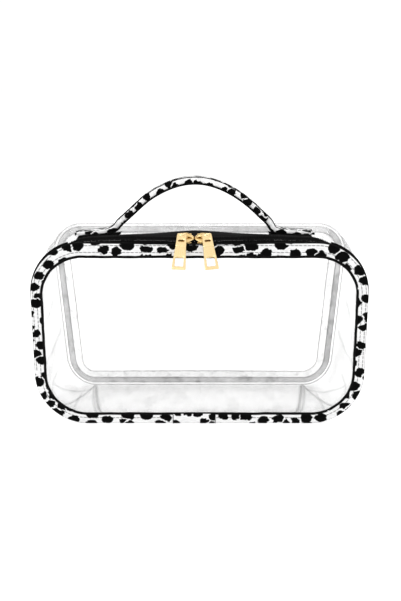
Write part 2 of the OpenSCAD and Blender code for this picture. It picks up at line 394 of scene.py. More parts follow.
@dataclass(frozen=True)
class PuckeredTape:
    """Clear seam tape folded over the inner seam, gathered by its stitches."""

    name: str
    haze: float = 0.13
    pitch: float = 0.0042

    def make(self) -> Any:
        """Builds the material: a darker doubled half with two lines beside the
        seam, a clear half inside it, and a thin line along the inner edge.

        Returns:
            The material.
        """
        shader = Shader(self.name)
        along, across, _ = shader.parts(shader.along())
        place = shader.place()
        slow = shader.noise(shader.scaled(place, (34.0, 60.0, 34.0)), 1.0, 2.0)
        crinkle = shader.noise(shader.scaled(place, (210.0, 210.0, 210.0)), 1.0, 3.0)
        pucker = (along * (2 * math.pi / self.pitch)).sine() * 0.5 + 0.5
        doubled = (across - 0.24).magnitude().step(0.24, 0.17)
        lines = ((across - 0.05).magnitude().step(0.06, 0.0) * 0.6
            + (across - 0.42).magnitude().step(0.06, 0.0) * 0.6
            + (across - 0.96).magnitude().step(0.07, 0.01))
        patchy = slow.step(0.3, 0.7)
        height = pucker * 0.25 + crinkle * 0.5 + slow * 0.6
        share = (doubled * (0.28 + patchy * 0.24) + lines * (0.34 + patchy * 0.2)
            + crinkle.step(0.5, 0.75) * 0.18 + self.haze).clamped()
        dark = (doubled * 0.45 + lines * 0.6 + crinkle.step(0.45, 0.7) * 0.3).clamped()
        solid = shader.node(
            "ShaderNodeBsdfPrincipled",
            None,
            **{
                "Base Color": shader.mix(dark, grey(0.8), grey(0.16)),
                "Roughness": crinkle * 0.12 + 0.14,
                "Normal": shader.bump(height, 0.0007),
            },
        )
        open_part = shader.node("ShaderNodeBsdfTransparent", None, Color=grey(0.985))
        mixed = shader.node(
            "ShaderNodeMixShader",
            None,
            **{"0": share, "1": open_part.outputs[0], "2": solid.outputs[0]},
        )
        return shader.finish(mixed.outputs[0])


@dataclass(frozen=True)
class SpottedCloth:
    """White woven tape printed with uneven black spots."""

    name: str
    pattern: Pattern = Pattern.PLACE
    spot: float = 0.0096
    weave: float = 0.00045
    white: float = 0.95
    shift: float = 0.0

    def make(self) -> Any:
        """Builds the material.

        Returns:
            The material: round cells of a stretched, warped Voronoi pattern,
            each cut at its own size, printed over a fine plain weave.
        """
        shader = Shader(self.name)
        base = shader.along() if self.pattern is Pattern.ALONG else shader.place()
        x, y, z = shader.parts(base)
        if self.pattern is Pattern.PLACE:
            flat = shader.node(
                "ShaderNodeCombineXYZ", None, X=x + y * 0.35 + self.shift, Y=z + y * 0.8, Z=0.0
            ).outputs[0]
        else:
            flat = shader.node(
                "ShaderNodeCombineXYZ", None, X=x + self.shift, Y=y + self.shift * 0.7, Z=0.0
            ).outputs[0]
        warp = shader.node(
            "ShaderNodeTexNoise", None, Vector=flat, Scale=330.0, Detail=3.0
        ).outputs["Color"]
        centred = shader.node(
            "ShaderNodeVectorMath",
            {"operation": "SUBTRACT"},
            **{"0": warp, "1": (0.5, 0.5, 0.5)},
        ).outputs[0]
        shift = shader.scaled(centred, (0.0040, 0.0040, 0.0))
        warped = shader.node(
            "ShaderNodeVectorMath", {"operation": "ADD"}, **{"0": flat, "1": shift}
        ).outputs[0]
        stretched = shader.scaled(warped, (0.88, 1.14, 1.0))
        cells = shader.node(
            "ShaderNodeTexVoronoi",
            {"voronoi_dimensions": "2D"},
            Vector=stretched,
            Scale=1.0 / self.spot,
            Randomness=0.86,
        )
        edges = shader.value(
            "ShaderNodeTexVoronoi",
            {"voronoi_dimensions": "2D", "feature": "DISTANCE_TO_EDGE"},
            Vector=stretched,
            Scale=1.0 / self.spot,
            Randomness=0.86,
        )
        distance = Value(shader, cells.outputs["Distance"])
        shade, size, _ = shader.parts(cells.outputs["Color"])
        reach = size * 0.13 + 0.36
        gap = shade.step(0.42, 0.46) * 0.14 - 0.05
        ink = (distance - reach).step(0.025, -0.025) * (edges - gap).step(-0.015, 0.03)
        u, v, w = x, y, z
        turn = 2 * math.pi / self.weave
        if self.pattern is Pattern.ALONG:
            threads = (u * turn).sine() * (v * turn).sine()
        else:
            threads = ((u + w) * turn).sine() * ((u - w + v) * turn).sine()
        fuzz = shader.noise(base, 900.0, 2.0)
        cloudy = shader.noise(base, 60.0, 2.0)
        streaks = shader.noise(shader.scaled(base, (240.0, 240.0, 1300.0)), 1.0, 2.0)
        white = shader.mix(
            (cloudy * 0.5 + streaks.step(0.35, 0.7) * 0.5),
            grey(self.white * 0.72),
            grey(self.white),
        )
        black = shader.mix(fuzz, grey(0.001), grey(0.004))
        solid = shader.node(
            "ShaderNodeBsdfPrincipled",
            None,
            **{
                "Base Color": shader.mix(ink, white, black),
                "Roughness": 0.62 + fuzz * 0.2 - ink * 0.12,
                "Normal": shader.bump(threads * 0.5 + fuzz * 0.5, 0.00007),
            },
        )
        solid.inputs["Specular IOR Level"].default_value = 0.02
        return shader.finish(solid.outputs[0])


@dataclass(frozen=True)
class WovenBlack:
    """Black woven cloth, with threads along and across the piece."""

    name: str
    pitch: float = 0.0006
    level: float = 0.004

    def make(self) -> Any:
        """Builds the material: a twill of two sines with a little lint.

        Returns:
            The material.
        """
        shader = Shader(self.name)
        along, across, _ = shader.parts(shader.along())
        turn = 2 * math.pi / self.pitch
        twill = ((along + across) * turn).sine() * ((along - across) * turn).sine()
        lint = shader.noise(shader.place(), 700.0, 3.0)
        worn = shader.noise(shader.place(), 90.0, 2.0)
        solid = shader.node(
            "ShaderNodeBsdfPrincipled",
            None,
            **{
                "Base Color": shader.mix(
                    lint * 0.6 + worn * 0.4, grey(self.level * 0.5), grey(self.level * 2.6)
                ),
                "Roughness": 0.62 + lint * 0.22,
                "Normal": shader.bump(twill * 0.5 + lint * 0.5, 0.00011),
            },
        )
        solid.inputs["Specular IOR Level"].default_value = 0.03
        return shader.finish(solid.outputs[0])


@dataclass(frozen=True)
class Nylon:
    """Black nylon of the coil, smooth and a little glossy."""

    name: str
    level: float = 0.0035
    roughness: float = 0.5

    def make(self) -> Any:
        """Builds the material: near-black with faint draw lines.

        Returns:
            The material.
        """
        shader = Shader(self.name)
        lines = shader.noise(shader.scaled(shader.place(), (300.0, 2200.0, 2200.0)), 1.0)
        solid = shader.node(
            "ShaderNodeBsdfPrincipled",
            None,
            **{
                "Base Color": shader.mix(lines, grey(self.level), grey(self.level * 2.2)),
                "Roughness": self.roughness + lines * 0.16,
                "Normal": shader.bump(lines, 0.00003),
            },
        )
        solid.inputs["Specular IOR Level"].default_value = 0.06
        return shader.finish(solid.outputs[0])


@dataclass(frozen=True)
class PaleGold:
    """Pale gold plating, polished, with fine rubs and faint pits, turned amber at a slant as
    painted shade.
    """

    name: str
    colour: tuple[float, float, float, float] = (0.66, 0.42, 0.13, 1.0)
    roughness: float = 0.2
    deep: bool = False

    def make(self) -> Any:
        """Builds the material: metal whose rubs follow the long side, turned amber
        at a slant as painted shade; deep makes a dark copy, painted shade for a hollow.

        Returns:
            The material.
        """
        shader = Shader(self.name)
        place = shader.place()
        rubs = shader.noise(shader.scaled(place, (1500.0, 300.0, 260.0)), 1.0, 3.0)
        cloud = shader.noise(place, 110.0, 1.0)
        slant = Value(
            shader, shader.node("ShaderNodeLayerWeight", None, Blend=0.4).outputs[1]
        )
        pits = shader.noise(place, 1600.0, 2.0).step(0.62, 0.78)
        # Painted shade: deep gives a dark copy of the gold for a hollow, and the colour turns amber
        # at a slant.
        pale = (0.16, 0.10, 0.02, 1.0) if self.deep else (0.90, 0.70, 0.39, 1.0)
        painted_shade_amber = (0.40, 0.22, 0.045, 1.0)
        solid = shader.node(
            "ShaderNodeBsdfPrincipled",
            None,
            **{
                "Base Color": shader.mix(
                    slant.step(0.35, 0.95), shader.mix(cloud, self.colour, pale), painted_shade_amber
                ),
                "Roughness": self.roughness + rubs * 0.12 + pits * 0.05,
                "Metallic": 1.0,
                "Normal": shader.bump(rubs * 0.6 + cloud * 0.4 - pits * 0.3, 0.00002),
            },
        )
        return shader.finish(solid.outputs[0])


@dataclass(frozen=True)
class Thread:
    """Twisted sewing thread."""

    name: str
    level: float = 0.7

    def make(self) -> Any:
        """Builds the material: a plain thread with twist lines.

        Returns:
            The material.
        """
        shader = Shader(self.name)
        x, y, z = shader.parts(shader.place())
        twist = ((x + z + y) * 9000.0).sine() * 0.5 + 0.5
        solid = shader.node(
            "ShaderNodeBsdfPrincipled",
            None,
            **{
                "Base Color": shader.mix(twist, grey(self.level * 0.8), grey(self.level)),
                "Roughness": 0.55 + twist * 0.15,
                "Normal": shader.bump(twist, 0.00005),
            },
        )
        return shader.finish(solid.outputs[0])


@dataclass(frozen=True)
class StudioFloor:
    """Plain pale floor of the studio."""

    name: str = "studio_floor"
    level: float = 0.62

    def make(self) -> Any:
        """Builds the material: an even, matt, nearly white surface.

        Returns:
            The material.
        """
        shader = Shader(self.name)
        cloud = shader.noise(shader.place(), 3.0, 1.0)
        solid = shader.node(
            "ShaderNodeBsdfPrincipled",
            None,
            **{
                "Base Color": shader.mix(cloud, grey(self.level), grey(self.level + 0.02)),
                "Roughness": 0.9,
            },
        )
        solid.inputs["Specular IOR Level"].default_value = 0.0
        solid.inputs["Emission Color"].default_value = grey(1.0)
        solid.inputs["Emission Strength"].default_value = 0.55
        return shader.finish(solid.outputs[0])


# --------------------------------------------------------------------------
# Surfaces
# --------------------------------------------------------------------------


def make_mesh(name: str, points: Array, faces: Array, uv: Optional[Array] = None) -> Any:
    """Makes a smooth-shaded mesh object.

    Args:
        name: the object's name.
        points: vertices, one row each, in metres.
        faces: quads, as rows of four vertex numbers.
        uv: two numbers for each vertex, for the UV map "along".

    Returns:
        The new object, linked to the scene.
    """
    mesh = bpy.data.meshes.new(name)
    mesh.from_pydata(points.tolist(), [], faces.tolist())
    mesh.update()
    mesh.polygons.foreach_set("use_smooth", np.ones(len(mesh.polygons), bool))
    if uv is not None:
        layer = mesh.uv_layers.new(name="along")
        index = np.zeros(len(mesh.loops), np.int32)
        mesh.loops.foreach_get("vertex_index", index)
        layer.data.foreach_set("uv", uv[index].astype(np.float32).ravel())
    made = bpy.data.objects.new(name, mesh)
    bpy.context.scene.collection.objects.link(made)
    return made


def grid_faces(rows: int, cols: int, wrap_rows: bool, wrap_cols: bool) -> Array:
    """Quads of a grid numbered row by row: each joins a point to the next in
    its row and the two below them, and a wrapped side goes back to its start.

    Args:
        rows: how many rows of points.
        cols: how many points in a row.
        wrap_rows: whether the last row joins the first.
        wrap_cols: whether the last column joins the first.

    Returns:
        Four corner numbers for each face.
    """
    i, j = np.meshgrid(
        np.arange(rows if wrap_rows else rows - 1),
        np.arange(cols if wrap_cols else cols - 1),
        indexing="ij",
    )
    i, j = i.ravel(), j.ravel()
    k, m = (i + 1) % rows, (j + 1) % cols
    return np.stack([i * cols + j, i * cols + m, k * cols + m, k * cols + j], 1)


def outward(made: Any) -> Any:
    """Merges doubles and makes the faces of a closed piece point outwards.

    Args:
        made: the object.

    Returns:
        The same object.
    """
    work = bmesh.new()
    work.from_mesh(made.data)
    bmesh.ops.remove_doubles(work, verts=work.verts, dist=1e-7)
    bmesh.ops.recalc_face_normals(work, faces=work.faces)
    work.to_mesh(made.data)
    work.free()
    return made


def surface(
    name: str,
    points: Array,
    wrap: tuple[bool, bool] = (False, False),
    uv: Optional[Array] = None,
) -> Any:
    """A grid of points, rows by columns by three, as an object.

    Args:
        name: the object's name.
        points: the points.
        wrap: whether the rows and the columns join up.
        uv: a flat coordinate for each point, or none.

    Returns:
        The object.
    """
    rows, cols = points.shape[:2]
    flat = None if uv is None else uv.reshape(-1, 2)
    return make_mesh(name, points.reshape(-1, 3), grid_faces(rows, cols, *wrap), flat)


def sheet(name: str, points: Array, normal: Array, thick: float, uv: Array) -> Any:
    """A thin closed wall: the grid, and the same grid moved along the normal
    by the thickness, joined by a strip all round their edge.

    Args:
        name: the object's name.
        points: the points.
        normal: the direction to thicken in.
        thick: the thickness.
        uv: a flat coordinate for each point, or none.

    Returns:
        The object.
    """
    rows, cols = points.shape[:2]
    both = np.concatenate([points.reshape(-1, 3), (points + normal * thick).reshape(-1, 3)])
    face = grid_faces(rows, cols, False, False)
    count = rows * cols
    rim = np.concatenate(
        [
            np.arange(cols),
            np.arange(1, rows) * cols + cols - 1,
            (rows - 1) * cols + np.arange(cols - 2, -1, -1),
            np.arange(rows - 2, 0, -1) * cols,
        ]
    )
    after = np.roll(rim, -1)
    strip = np.stack([rim, after, after + count, rim + count], 1)
    faces = np.concatenate([face[:, ::-1], face + count, strip])
    flat = uv.reshape(-1, 2)
    return outward(make_mesh(name, both, faces, np.concatenate([flat, flat])))


def lengths(path: Array) -> Array:
    """Distance along a path to each of its points."""
    steps = np.linalg.norm(np.diff(path, axis=0), axis=1)
    return np.concatenate([[0.0], np.cumsum(steps)])


def sweep(
    name: str,
    path: Array,
    side: Array,
    lift: Array,
    profile: Array,
    closed: bool = False,
) -> Any:
    """Carries a closed profile along a path.

    The point at (i, j) is path i plus profile j's first number times the
    side direction plus its second times the lift direction. Open ends are
    closed by a fan to the profile's middle.

    Args:
        name: the object's name.
        path: points of the path.
        side: the direction of the profile's first number, for each point.
        lift: the direction of its second number, for each point.
        profile: the profile, or one for each point of the path.
        closed: whether the path joins up with itself.

    Returns:
        The object.
    """
    shape = np.broadcast_to(profile, (len(path), *profile.shape[-2:]))
    grid = (
        path[:, None]
        + shape[..., :1] * side[:, None]
        + shape[..., 1:2] * lift[:, None]
    )
    run = lengths(path)
    turn = np.linalg.norm(np.diff(shape[0], axis=0, append=shape[0][:1]), axis=1)
    around = np.concatenate([[0.0], np.cumsum(turn)[:-1]])
    uv = np.stack(np.broadcast_arrays(run[:, None], around[None, :]), -1)
    if closed:
        return outward(surface(name, grid, (True, True), uv))
    first, last = grid[0].mean(0), grid[-1].mean(0)
    caps = [np.broadcast_to(p, grid[:1].shape) for p in (first, last)]
    grid = np.concatenate([caps[0], grid, caps[1]])
    uv = np.concatenate([uv[:1], uv, uv[-1:]])
    return outward(surface(name, grid, (False, True), uv))


def rounded_box(width: float, height: float, radius: float, steps: int = 5) -> Array:
    """A closed rounded rectangle about 0: four quarter arcs at its corners.

    Args:
        width: the size along the first number.
        height: the size along the second number.
        radius: the corners' radius.
        steps: points in each corner.

    Returns:
        The corner points in order.
    """
    turn = np.linspace(0, math.pi / 2, steps)
    corner = np.stack([np.cos(turn), np.sin(turn)], 1) * radius
    parts = []
    for sx, sy, flip in ((1, 1, 1), (-1, 1, -1), (-1, -1, 1), (1, -1, -1)):
        arc = corner[::flip] * (sx, sy)
        parts.append(arc + (sx * (width / 2 - radius), sy * (height / 2 - radius)))
    return np.concatenate(parts)


def smooth_rows(knots: Array, at: Array) -> Array:
    """Each column of knots, whose first column rises, read at new places with
    a cubic through every knot and slopes from its two neighbours.

    Args:
        knots: rows of a place followed by its values, in order.
        at: the places to read.

    Returns:
        The values at each place.
    """
    x, y = knots[:, 0], knots[:, 1:]
    slope = np.gradient(y, x, axis=0)
    k = np.clip(np.searchsorted(x, at) - 1, 0, len(x) - 2)
    h = (x[k + 1] - x[k])[:, None]
    t = ((at - x[k]) / (x[k + 1] - x[k]))[:, None]
    a, b = 2 * t**3 - 3 * t**2 + 1, t**3 - 2 * t**2 + t
    c, d = -2 * t**3 + 3 * t**2, t**3 - t**2
    return a * y[k] + b * h * slope[k] + c * y[k + 1] + d * h * slope[k + 1]


def wander(a: Array, b: Array, seed: float) -> Array:
    """A smooth uneven field from -1 to 1: five sines of a and b, each with its
    own slant, pace and phase, added and averaged.

    Args:
        a: the first coordinate.
        b: the second coordinate.
        seed: moves the pattern, so that two are not alike.

    Returns:
        A smooth value for each place, about -1 to 1.
    """
    total = np.zeros(np.broadcast(a, b).shape)
    for i in range(5):
        pace = 1.0 + 0.83 * i
        slant = math.sin(seed * 3.1 + i * 2.3)
        total += np.sin(pace * (a + slant * b) + seed * 7.7 + i * 1.9) / (1 + 0.5 * i)
    return total / 2.6


@dataclass(frozen=True)
class Outline:
    """A rounded rectangle standing in x and z.

    A place on it is a share from 0 to 1, counter-clockwise from the middle
    of the bottom; the corners always lie at the same shares.
    """

    half: float
    low: float
    high: float
    radius: float
    foot: float = 0.0
    lean: float = 0.0
    steps: int = 24

    def table(self) -> tuple[Array, Array, Array]:
        """Shares, x and z of a dense list of points round the outline.

        Returns:
            The shares, x and z.
        """
        marks = np.array(
            [0, 0.112, 0.195, 0.305, 0.388, 0.5, 0.612, 0.695, 0.805, 0.888, 1]
        )
        foot = self.foot or self.radius
        fx, bz = self.half - foot, self.low + foot
        cx, tz = self.half - self.radius, self.high - self.radius
        line = np.linspace(0, 1, self.steps + 1)[:, None]

        def straight(p: tuple, q: tuple) -> Array:
            """A straight run between two points."""
            return np.array(p) * (1 - line) + np.array(q) * line

        def corner(x: float, z: float, start: float, radius: float) -> Array:
            """A quarter turn about a centre."""
            angle = math.radians(start) + line[:, 0] * math.pi / 2
            return np.stack([x + radius * np.cos(angle), z + radius * np.sin(angle)], 1)

        pieces = [
            straight((0, self.low), (fx, self.low)),
            corner(fx, bz, -90, foot),
            straight((self.half, bz), (self.half, tz)),
            corner(cx, tz, 0, self.radius),
            straight((cx, self.high), (0, self.high)),
            straight((0, self.high), (-cx, self.high)),
            corner(-cx, tz, 90, self.radius),
            straight((-self.half, tz), (-self.half, bz)),
            corner(-fx, bz, 180, foot),
            straight((-fx, self.low), (0, self.low)),
        ]
        shares = [
            marks[i] + (marks[i + 1] - marks[i]) * line[:, 0] for i in range(10)
        ]
        xz = np.concatenate([p[:-1] for p in pieces] + [pieces[-1][-1:]])
        share = np.concatenate([s[:-1] for s in shares] + [shares[-1][-1:]])
        down = (self.high - xz[:, 1]) / (self.high - self.low)
        return share, xz[:, 0] * (1 - self.lean * down), xz[:, 1]

    def at(self, share: Array) -> Array:
        """Points in x and z at the given shares, taken round the loop.

        Args:
            share: the place, as a share of the whole.

        Returns:
            The points in x and z.
        """
        keys, x, z = self.table()
        wrapped = np.mod(share, 1.0)
        return np.stack([np.interp(wrapped, keys, x), np.interp(wrapped, keys, z)], -1)

    def share_at_top(self, x: float) -> float:
        """The share of the top right point that lies at x.

        Args:
            x: the place along the bag.

        Returns:
            The share of the whole run.
        """
        keys, xs, _ = self.table()
        part = (keys >= 0.305) & (keys <= 0.5)
        return float(np.interp(-x, -xs[part], keys[part]))

    def normal(self, share: Array) -> Array:
        """Unit directions out of the outline at the given shares.

        Args:
            share: the place, as a share of the whole.

        Returns:
            Unit directions in x and z.
        """
        step = 0.002
        along = self.at(share + step) - self.at(share - step)
        along /= np.linalg.norm(along, axis=-1, keepdims=True)
        return np.stack([along[..., 1], -along[..., 0]], -1)

    def inset(self, by: float, top: Optional[float] = None) -> "Outline":
        """The outline drawn in, by a different amount along the top if given.

        Args:
            by: how far to move in.
            top: how far to move in at the top, if it differs.

        Returns:
            The smaller outline.
        """
        return Outline(
            self.half - by,
            self.low + by,
            self.high - (by if top is None else top),
            max(self.radius - by, 1 * MM),
            max((self.foot or self.radius) - by, 1 * MM),
            self.lean,
            self.steps,
        )


def lift_xz(xz: Array, y: Any) -> Array:
    """Points in x and z, put at the given y."""
    return np.stack([xz[..., 0], np.broadcast_to(y, xz.shape[:-1]), xz[..., 1]], -1)


# --------------------------------------------------------------------------
# The bag
# --------------------------------------------------------------------------


@dataclass
class Sizes:
    """What the other classes need to know of the frame, in metres."""

    front: Outline
    front_y: float
    back_y: float
    mouth: float
    zip_y: float
    zip_z: float
    tilt: float
    panel_front: float
    top: float
    fold: Outline = field(init=False)

    def __post_init__(self) -> None:
        """Works out the outline of the binding's fold."""
        self.fold = self.front.inset(0.0)

    @classmethod
    def from_frame(cls) -> "Sizes":
        """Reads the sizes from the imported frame's own boxes.

        Returns:
            The sizes.
        """
        low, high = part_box("front_binding")
        _, panel_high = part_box("front_panel")
        _, back_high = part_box("back_panel")
        top_low, top_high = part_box("top_panel")
        _, tooth_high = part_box("front_zipper_teeth")
        tilt = math.radians(40)
        edge_y, edge_z = tooth_high[1], tooth_high[2]
        return cls(
            front=Outline(high[0], low[2], high[2], 0.038),
            front_y=panel_high[1],
            back_y=back_high[1],
            mouth=top_high[0] + 0.0004,
            zip_y=edge_y + 0.0007 * math.cos(tilt),
            zip_z=edge_z - 0.0019 * math.cos(tilt) + 0.0007 * math.sin(tilt),
            tilt=tilt,
            panel_front=top_low[1],
            top=top_high[2],
        )

    def stations(self) -> Array:
        """Rows of y, half width, bottom, top, the corner radii at the top and
        the foot, and the lean of the sides, from front to back.

        Returns:
            A row for each depth: its place and the outline there.
        """
        f, m = self.front, MM
        y = np.array([0.6, 7.0, 18.0, 50.0, 79.4]) * m + self.front_y
        inset = np.array([7.6, 5.0, 2.9, 1.4, 0.6]) * m
        low = np.array([7.6, 4.5, 2.0, 0.6, 0.3]) * m
        high = np.array([f.high - 5 * m, f.high + 2.5 * m, self.top, self.top, f.high + 2.9 * m])
        radius = np.array([30.4, 34.0, 34.0, 29.0, 25.0]) * m
        foot = np.array([30.4, 34.0, 33.0, 28.0, 24.0]) * m
        lean = np.array([0.0, 0.0, 0.01, 0.047, 0.085])
        return np.stack([y, f.half - inset, low, high, radius, foot, lean], 1)

    def tape_end(self, x: Array) -> Array:
        """How far back the rear tape reaches at x: less towards the ends.

        Args:
            x: the place along the bag.

        Returns:
            The place of the tape's rear end.
        """
        places = np.array([0, 12, 28, 45, 60, 76, 88, 97.6]) * MM
        ahead = np.array([0, 0.2, 0.9, 1.2, 1.6, 3.6, 6.0, 6.5]) * MM
        return self.panel_front + 5.0 * MM - np.interp(np.abs(x), places, ahead)

    def chain_dip(self, x: Array) -> Array:
        """How the chain's height changes along it: lower in the middle, where
        the two sliders weigh on it.

        Args:
            x: the place along the bag.

        Returns:
            The change of height.
        """
        places = np.array([52, 76, 86, 95, 98]) * MM
        ends = np.interp(np.abs(x), places, np.array([0, 0.9, 1.9, 3.2, 3.4]) * MM)
        return 0.35 * MM - 0.95 * MM * np.exp(-(((x + 3.6 * MM) / (38 * MM)) ** 2)) - ends

    def sag(self, x: Array, y: Array) -> Array:
        """How far the top hangs below its middle: more towards both ends of
        the zip, fading out behind the strap and at the mouth's ends.

        Args:
            x: the place along the bag.
            y: the place across its depth.

        Returns:
            The drop.
        """
        places = np.array([0, 12, 28, 45, 60, 76, 88, 97.6]) * MM
        drops = np.array([0, 0.5, 1.7, 2.7, 3.5, 4.7, 5.9, 5.6]) * MM
        depth = np.clip((y - self.panel_front - 12 * MM) / (42 * MM), 0, 1)
        fade = 1 - depth * depth * (3 - 2 * depth)
        return np.interp(np.abs(x + 4 * MM * (1 - np.abs(x) / self.mouth)), places, drops) * fade

    def outline_at(self, y: float) -> Outline:
        """The bag's outline in a plane across its depth."""
        row = smooth_rows(self.stations(), np.array([y]))[0]
        return Outline(*[float(v) for v in row])

    def top_height(self, x: Array, y: Array) -> Array:
        """Height of the bag's top at x and y: the outline's top, less what a
        quarter circle has dropped past the corner's start.

        Args:
            x: the place along the bag.
            y: the place across its depth.

        Returns:
            The height.
        """
        row = smooth_rows(self.stations(), y.ravel()).reshape(*y.shape, 6)
        half, high, radius = row[..., 0], row[..., 2], row[..., 3]
        past = np.clip(np.abs(x) - (half - radius), 0, radius * 0.999)
        return high - radius + np.sqrt(radius**2 - past**2) - self.sag(x, y)


class Dresser:
    """Gives a piece its finish, its body and what it stands for."""

    def __init__(self) -> None:
        """Starts with no finishes made."""
        self.made: dict[str, Any] = {}

    def finish(self, recipe: Any) -> Any:
        """The material of a recipe, made once.

        Args:
            recipe: the finish.

        Returns:
            The material, made once.
        """
        if recipe.name not in self.made:
            self.made[recipe.name] = recipe.make()
        return self.made[recipe.name]

    def dress(
        self,
        piece: Any,
        recipe: Any,
        slot: str,
        body: Optional[str] = None,
        replaces: Sequence[str] = (),
    ) -> Any:
        """Dresses a piece.

        Args:
            piece: the object.
            recipe: its finish.
            slot: not used.
            body: the body it rides on, if any.
            replaces: the frame's nodes that it stands for.

        Returns:
            The object.
        """
        piece.data.materials.clear()
        piece.data.materials.append(self.finish(recipe))
        if body:
            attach(piece, body)
        if replaces:
            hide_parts(*replaces)
        LOG.info("%s: %d faces", piece.name, len(piece.data.polygons))
        return piece


# Painted light and shade: the same clear vinyl gets a lighter tone on the top and a darker one on
# the gusset walls.
VINYL = ClearVinyl("clear_vinyl", tone=0.72)
TOP_VINYL = ClearVinyl("clear_top_vinyl", tone=0.9, haze=0.03)
WALL_VINYL = ClearVinyl("clear_wall_vinyl", haze=0.055, rim=0.5, tone=0.52, ripple=0.0009)
SEAM_TAPE = PuckeredTape("clear_seam_tape")
SEAM_BEAD = ClearVinyl("clear_seam_bead", haze=0.3, rim=0.5, tone=0.3)
SPOTS = SpottedCloth("spotted_binding")
LAP_SPOTS = SpottedCloth("spotted_lap", spot=0.0086, shift=0.0335)
STRAP_SPOTS = SpottedCloth("spotted_strap", Pattern.ALONG, spot=0.0076, shift=0.021)
# The thread is the spotted cloth made greyer: partly the thread's own grey, partly painted shade of
# the stitch groove.
SEWN_SPOTS = SpottedCloth("spotted_thread", white=0.36)
TAPE_BLACK = WovenBlack("black_zip_tape")
LINING_BLACK = WovenBlack("black_lining", pitch=0.0008, level=0.003)
COIL = Nylon("black_coil")
GOLD = PaleGold("pale_gold")
GOLD_PULL = PaleGold("pale_gold_pull", (0.84, 0.63, 0.32, 1.0), 0.22)
# A dark copy of the gold: painted shade for the hollow in each slider's nose.
GOLD_PAINTED_SHADE = PaleGold("shaded_gold", (0.10, 0.065, 0.012, 1.0), 0.5, deep=True)
CLEAR_THREAD = Thread("grey_thread", 0.3)


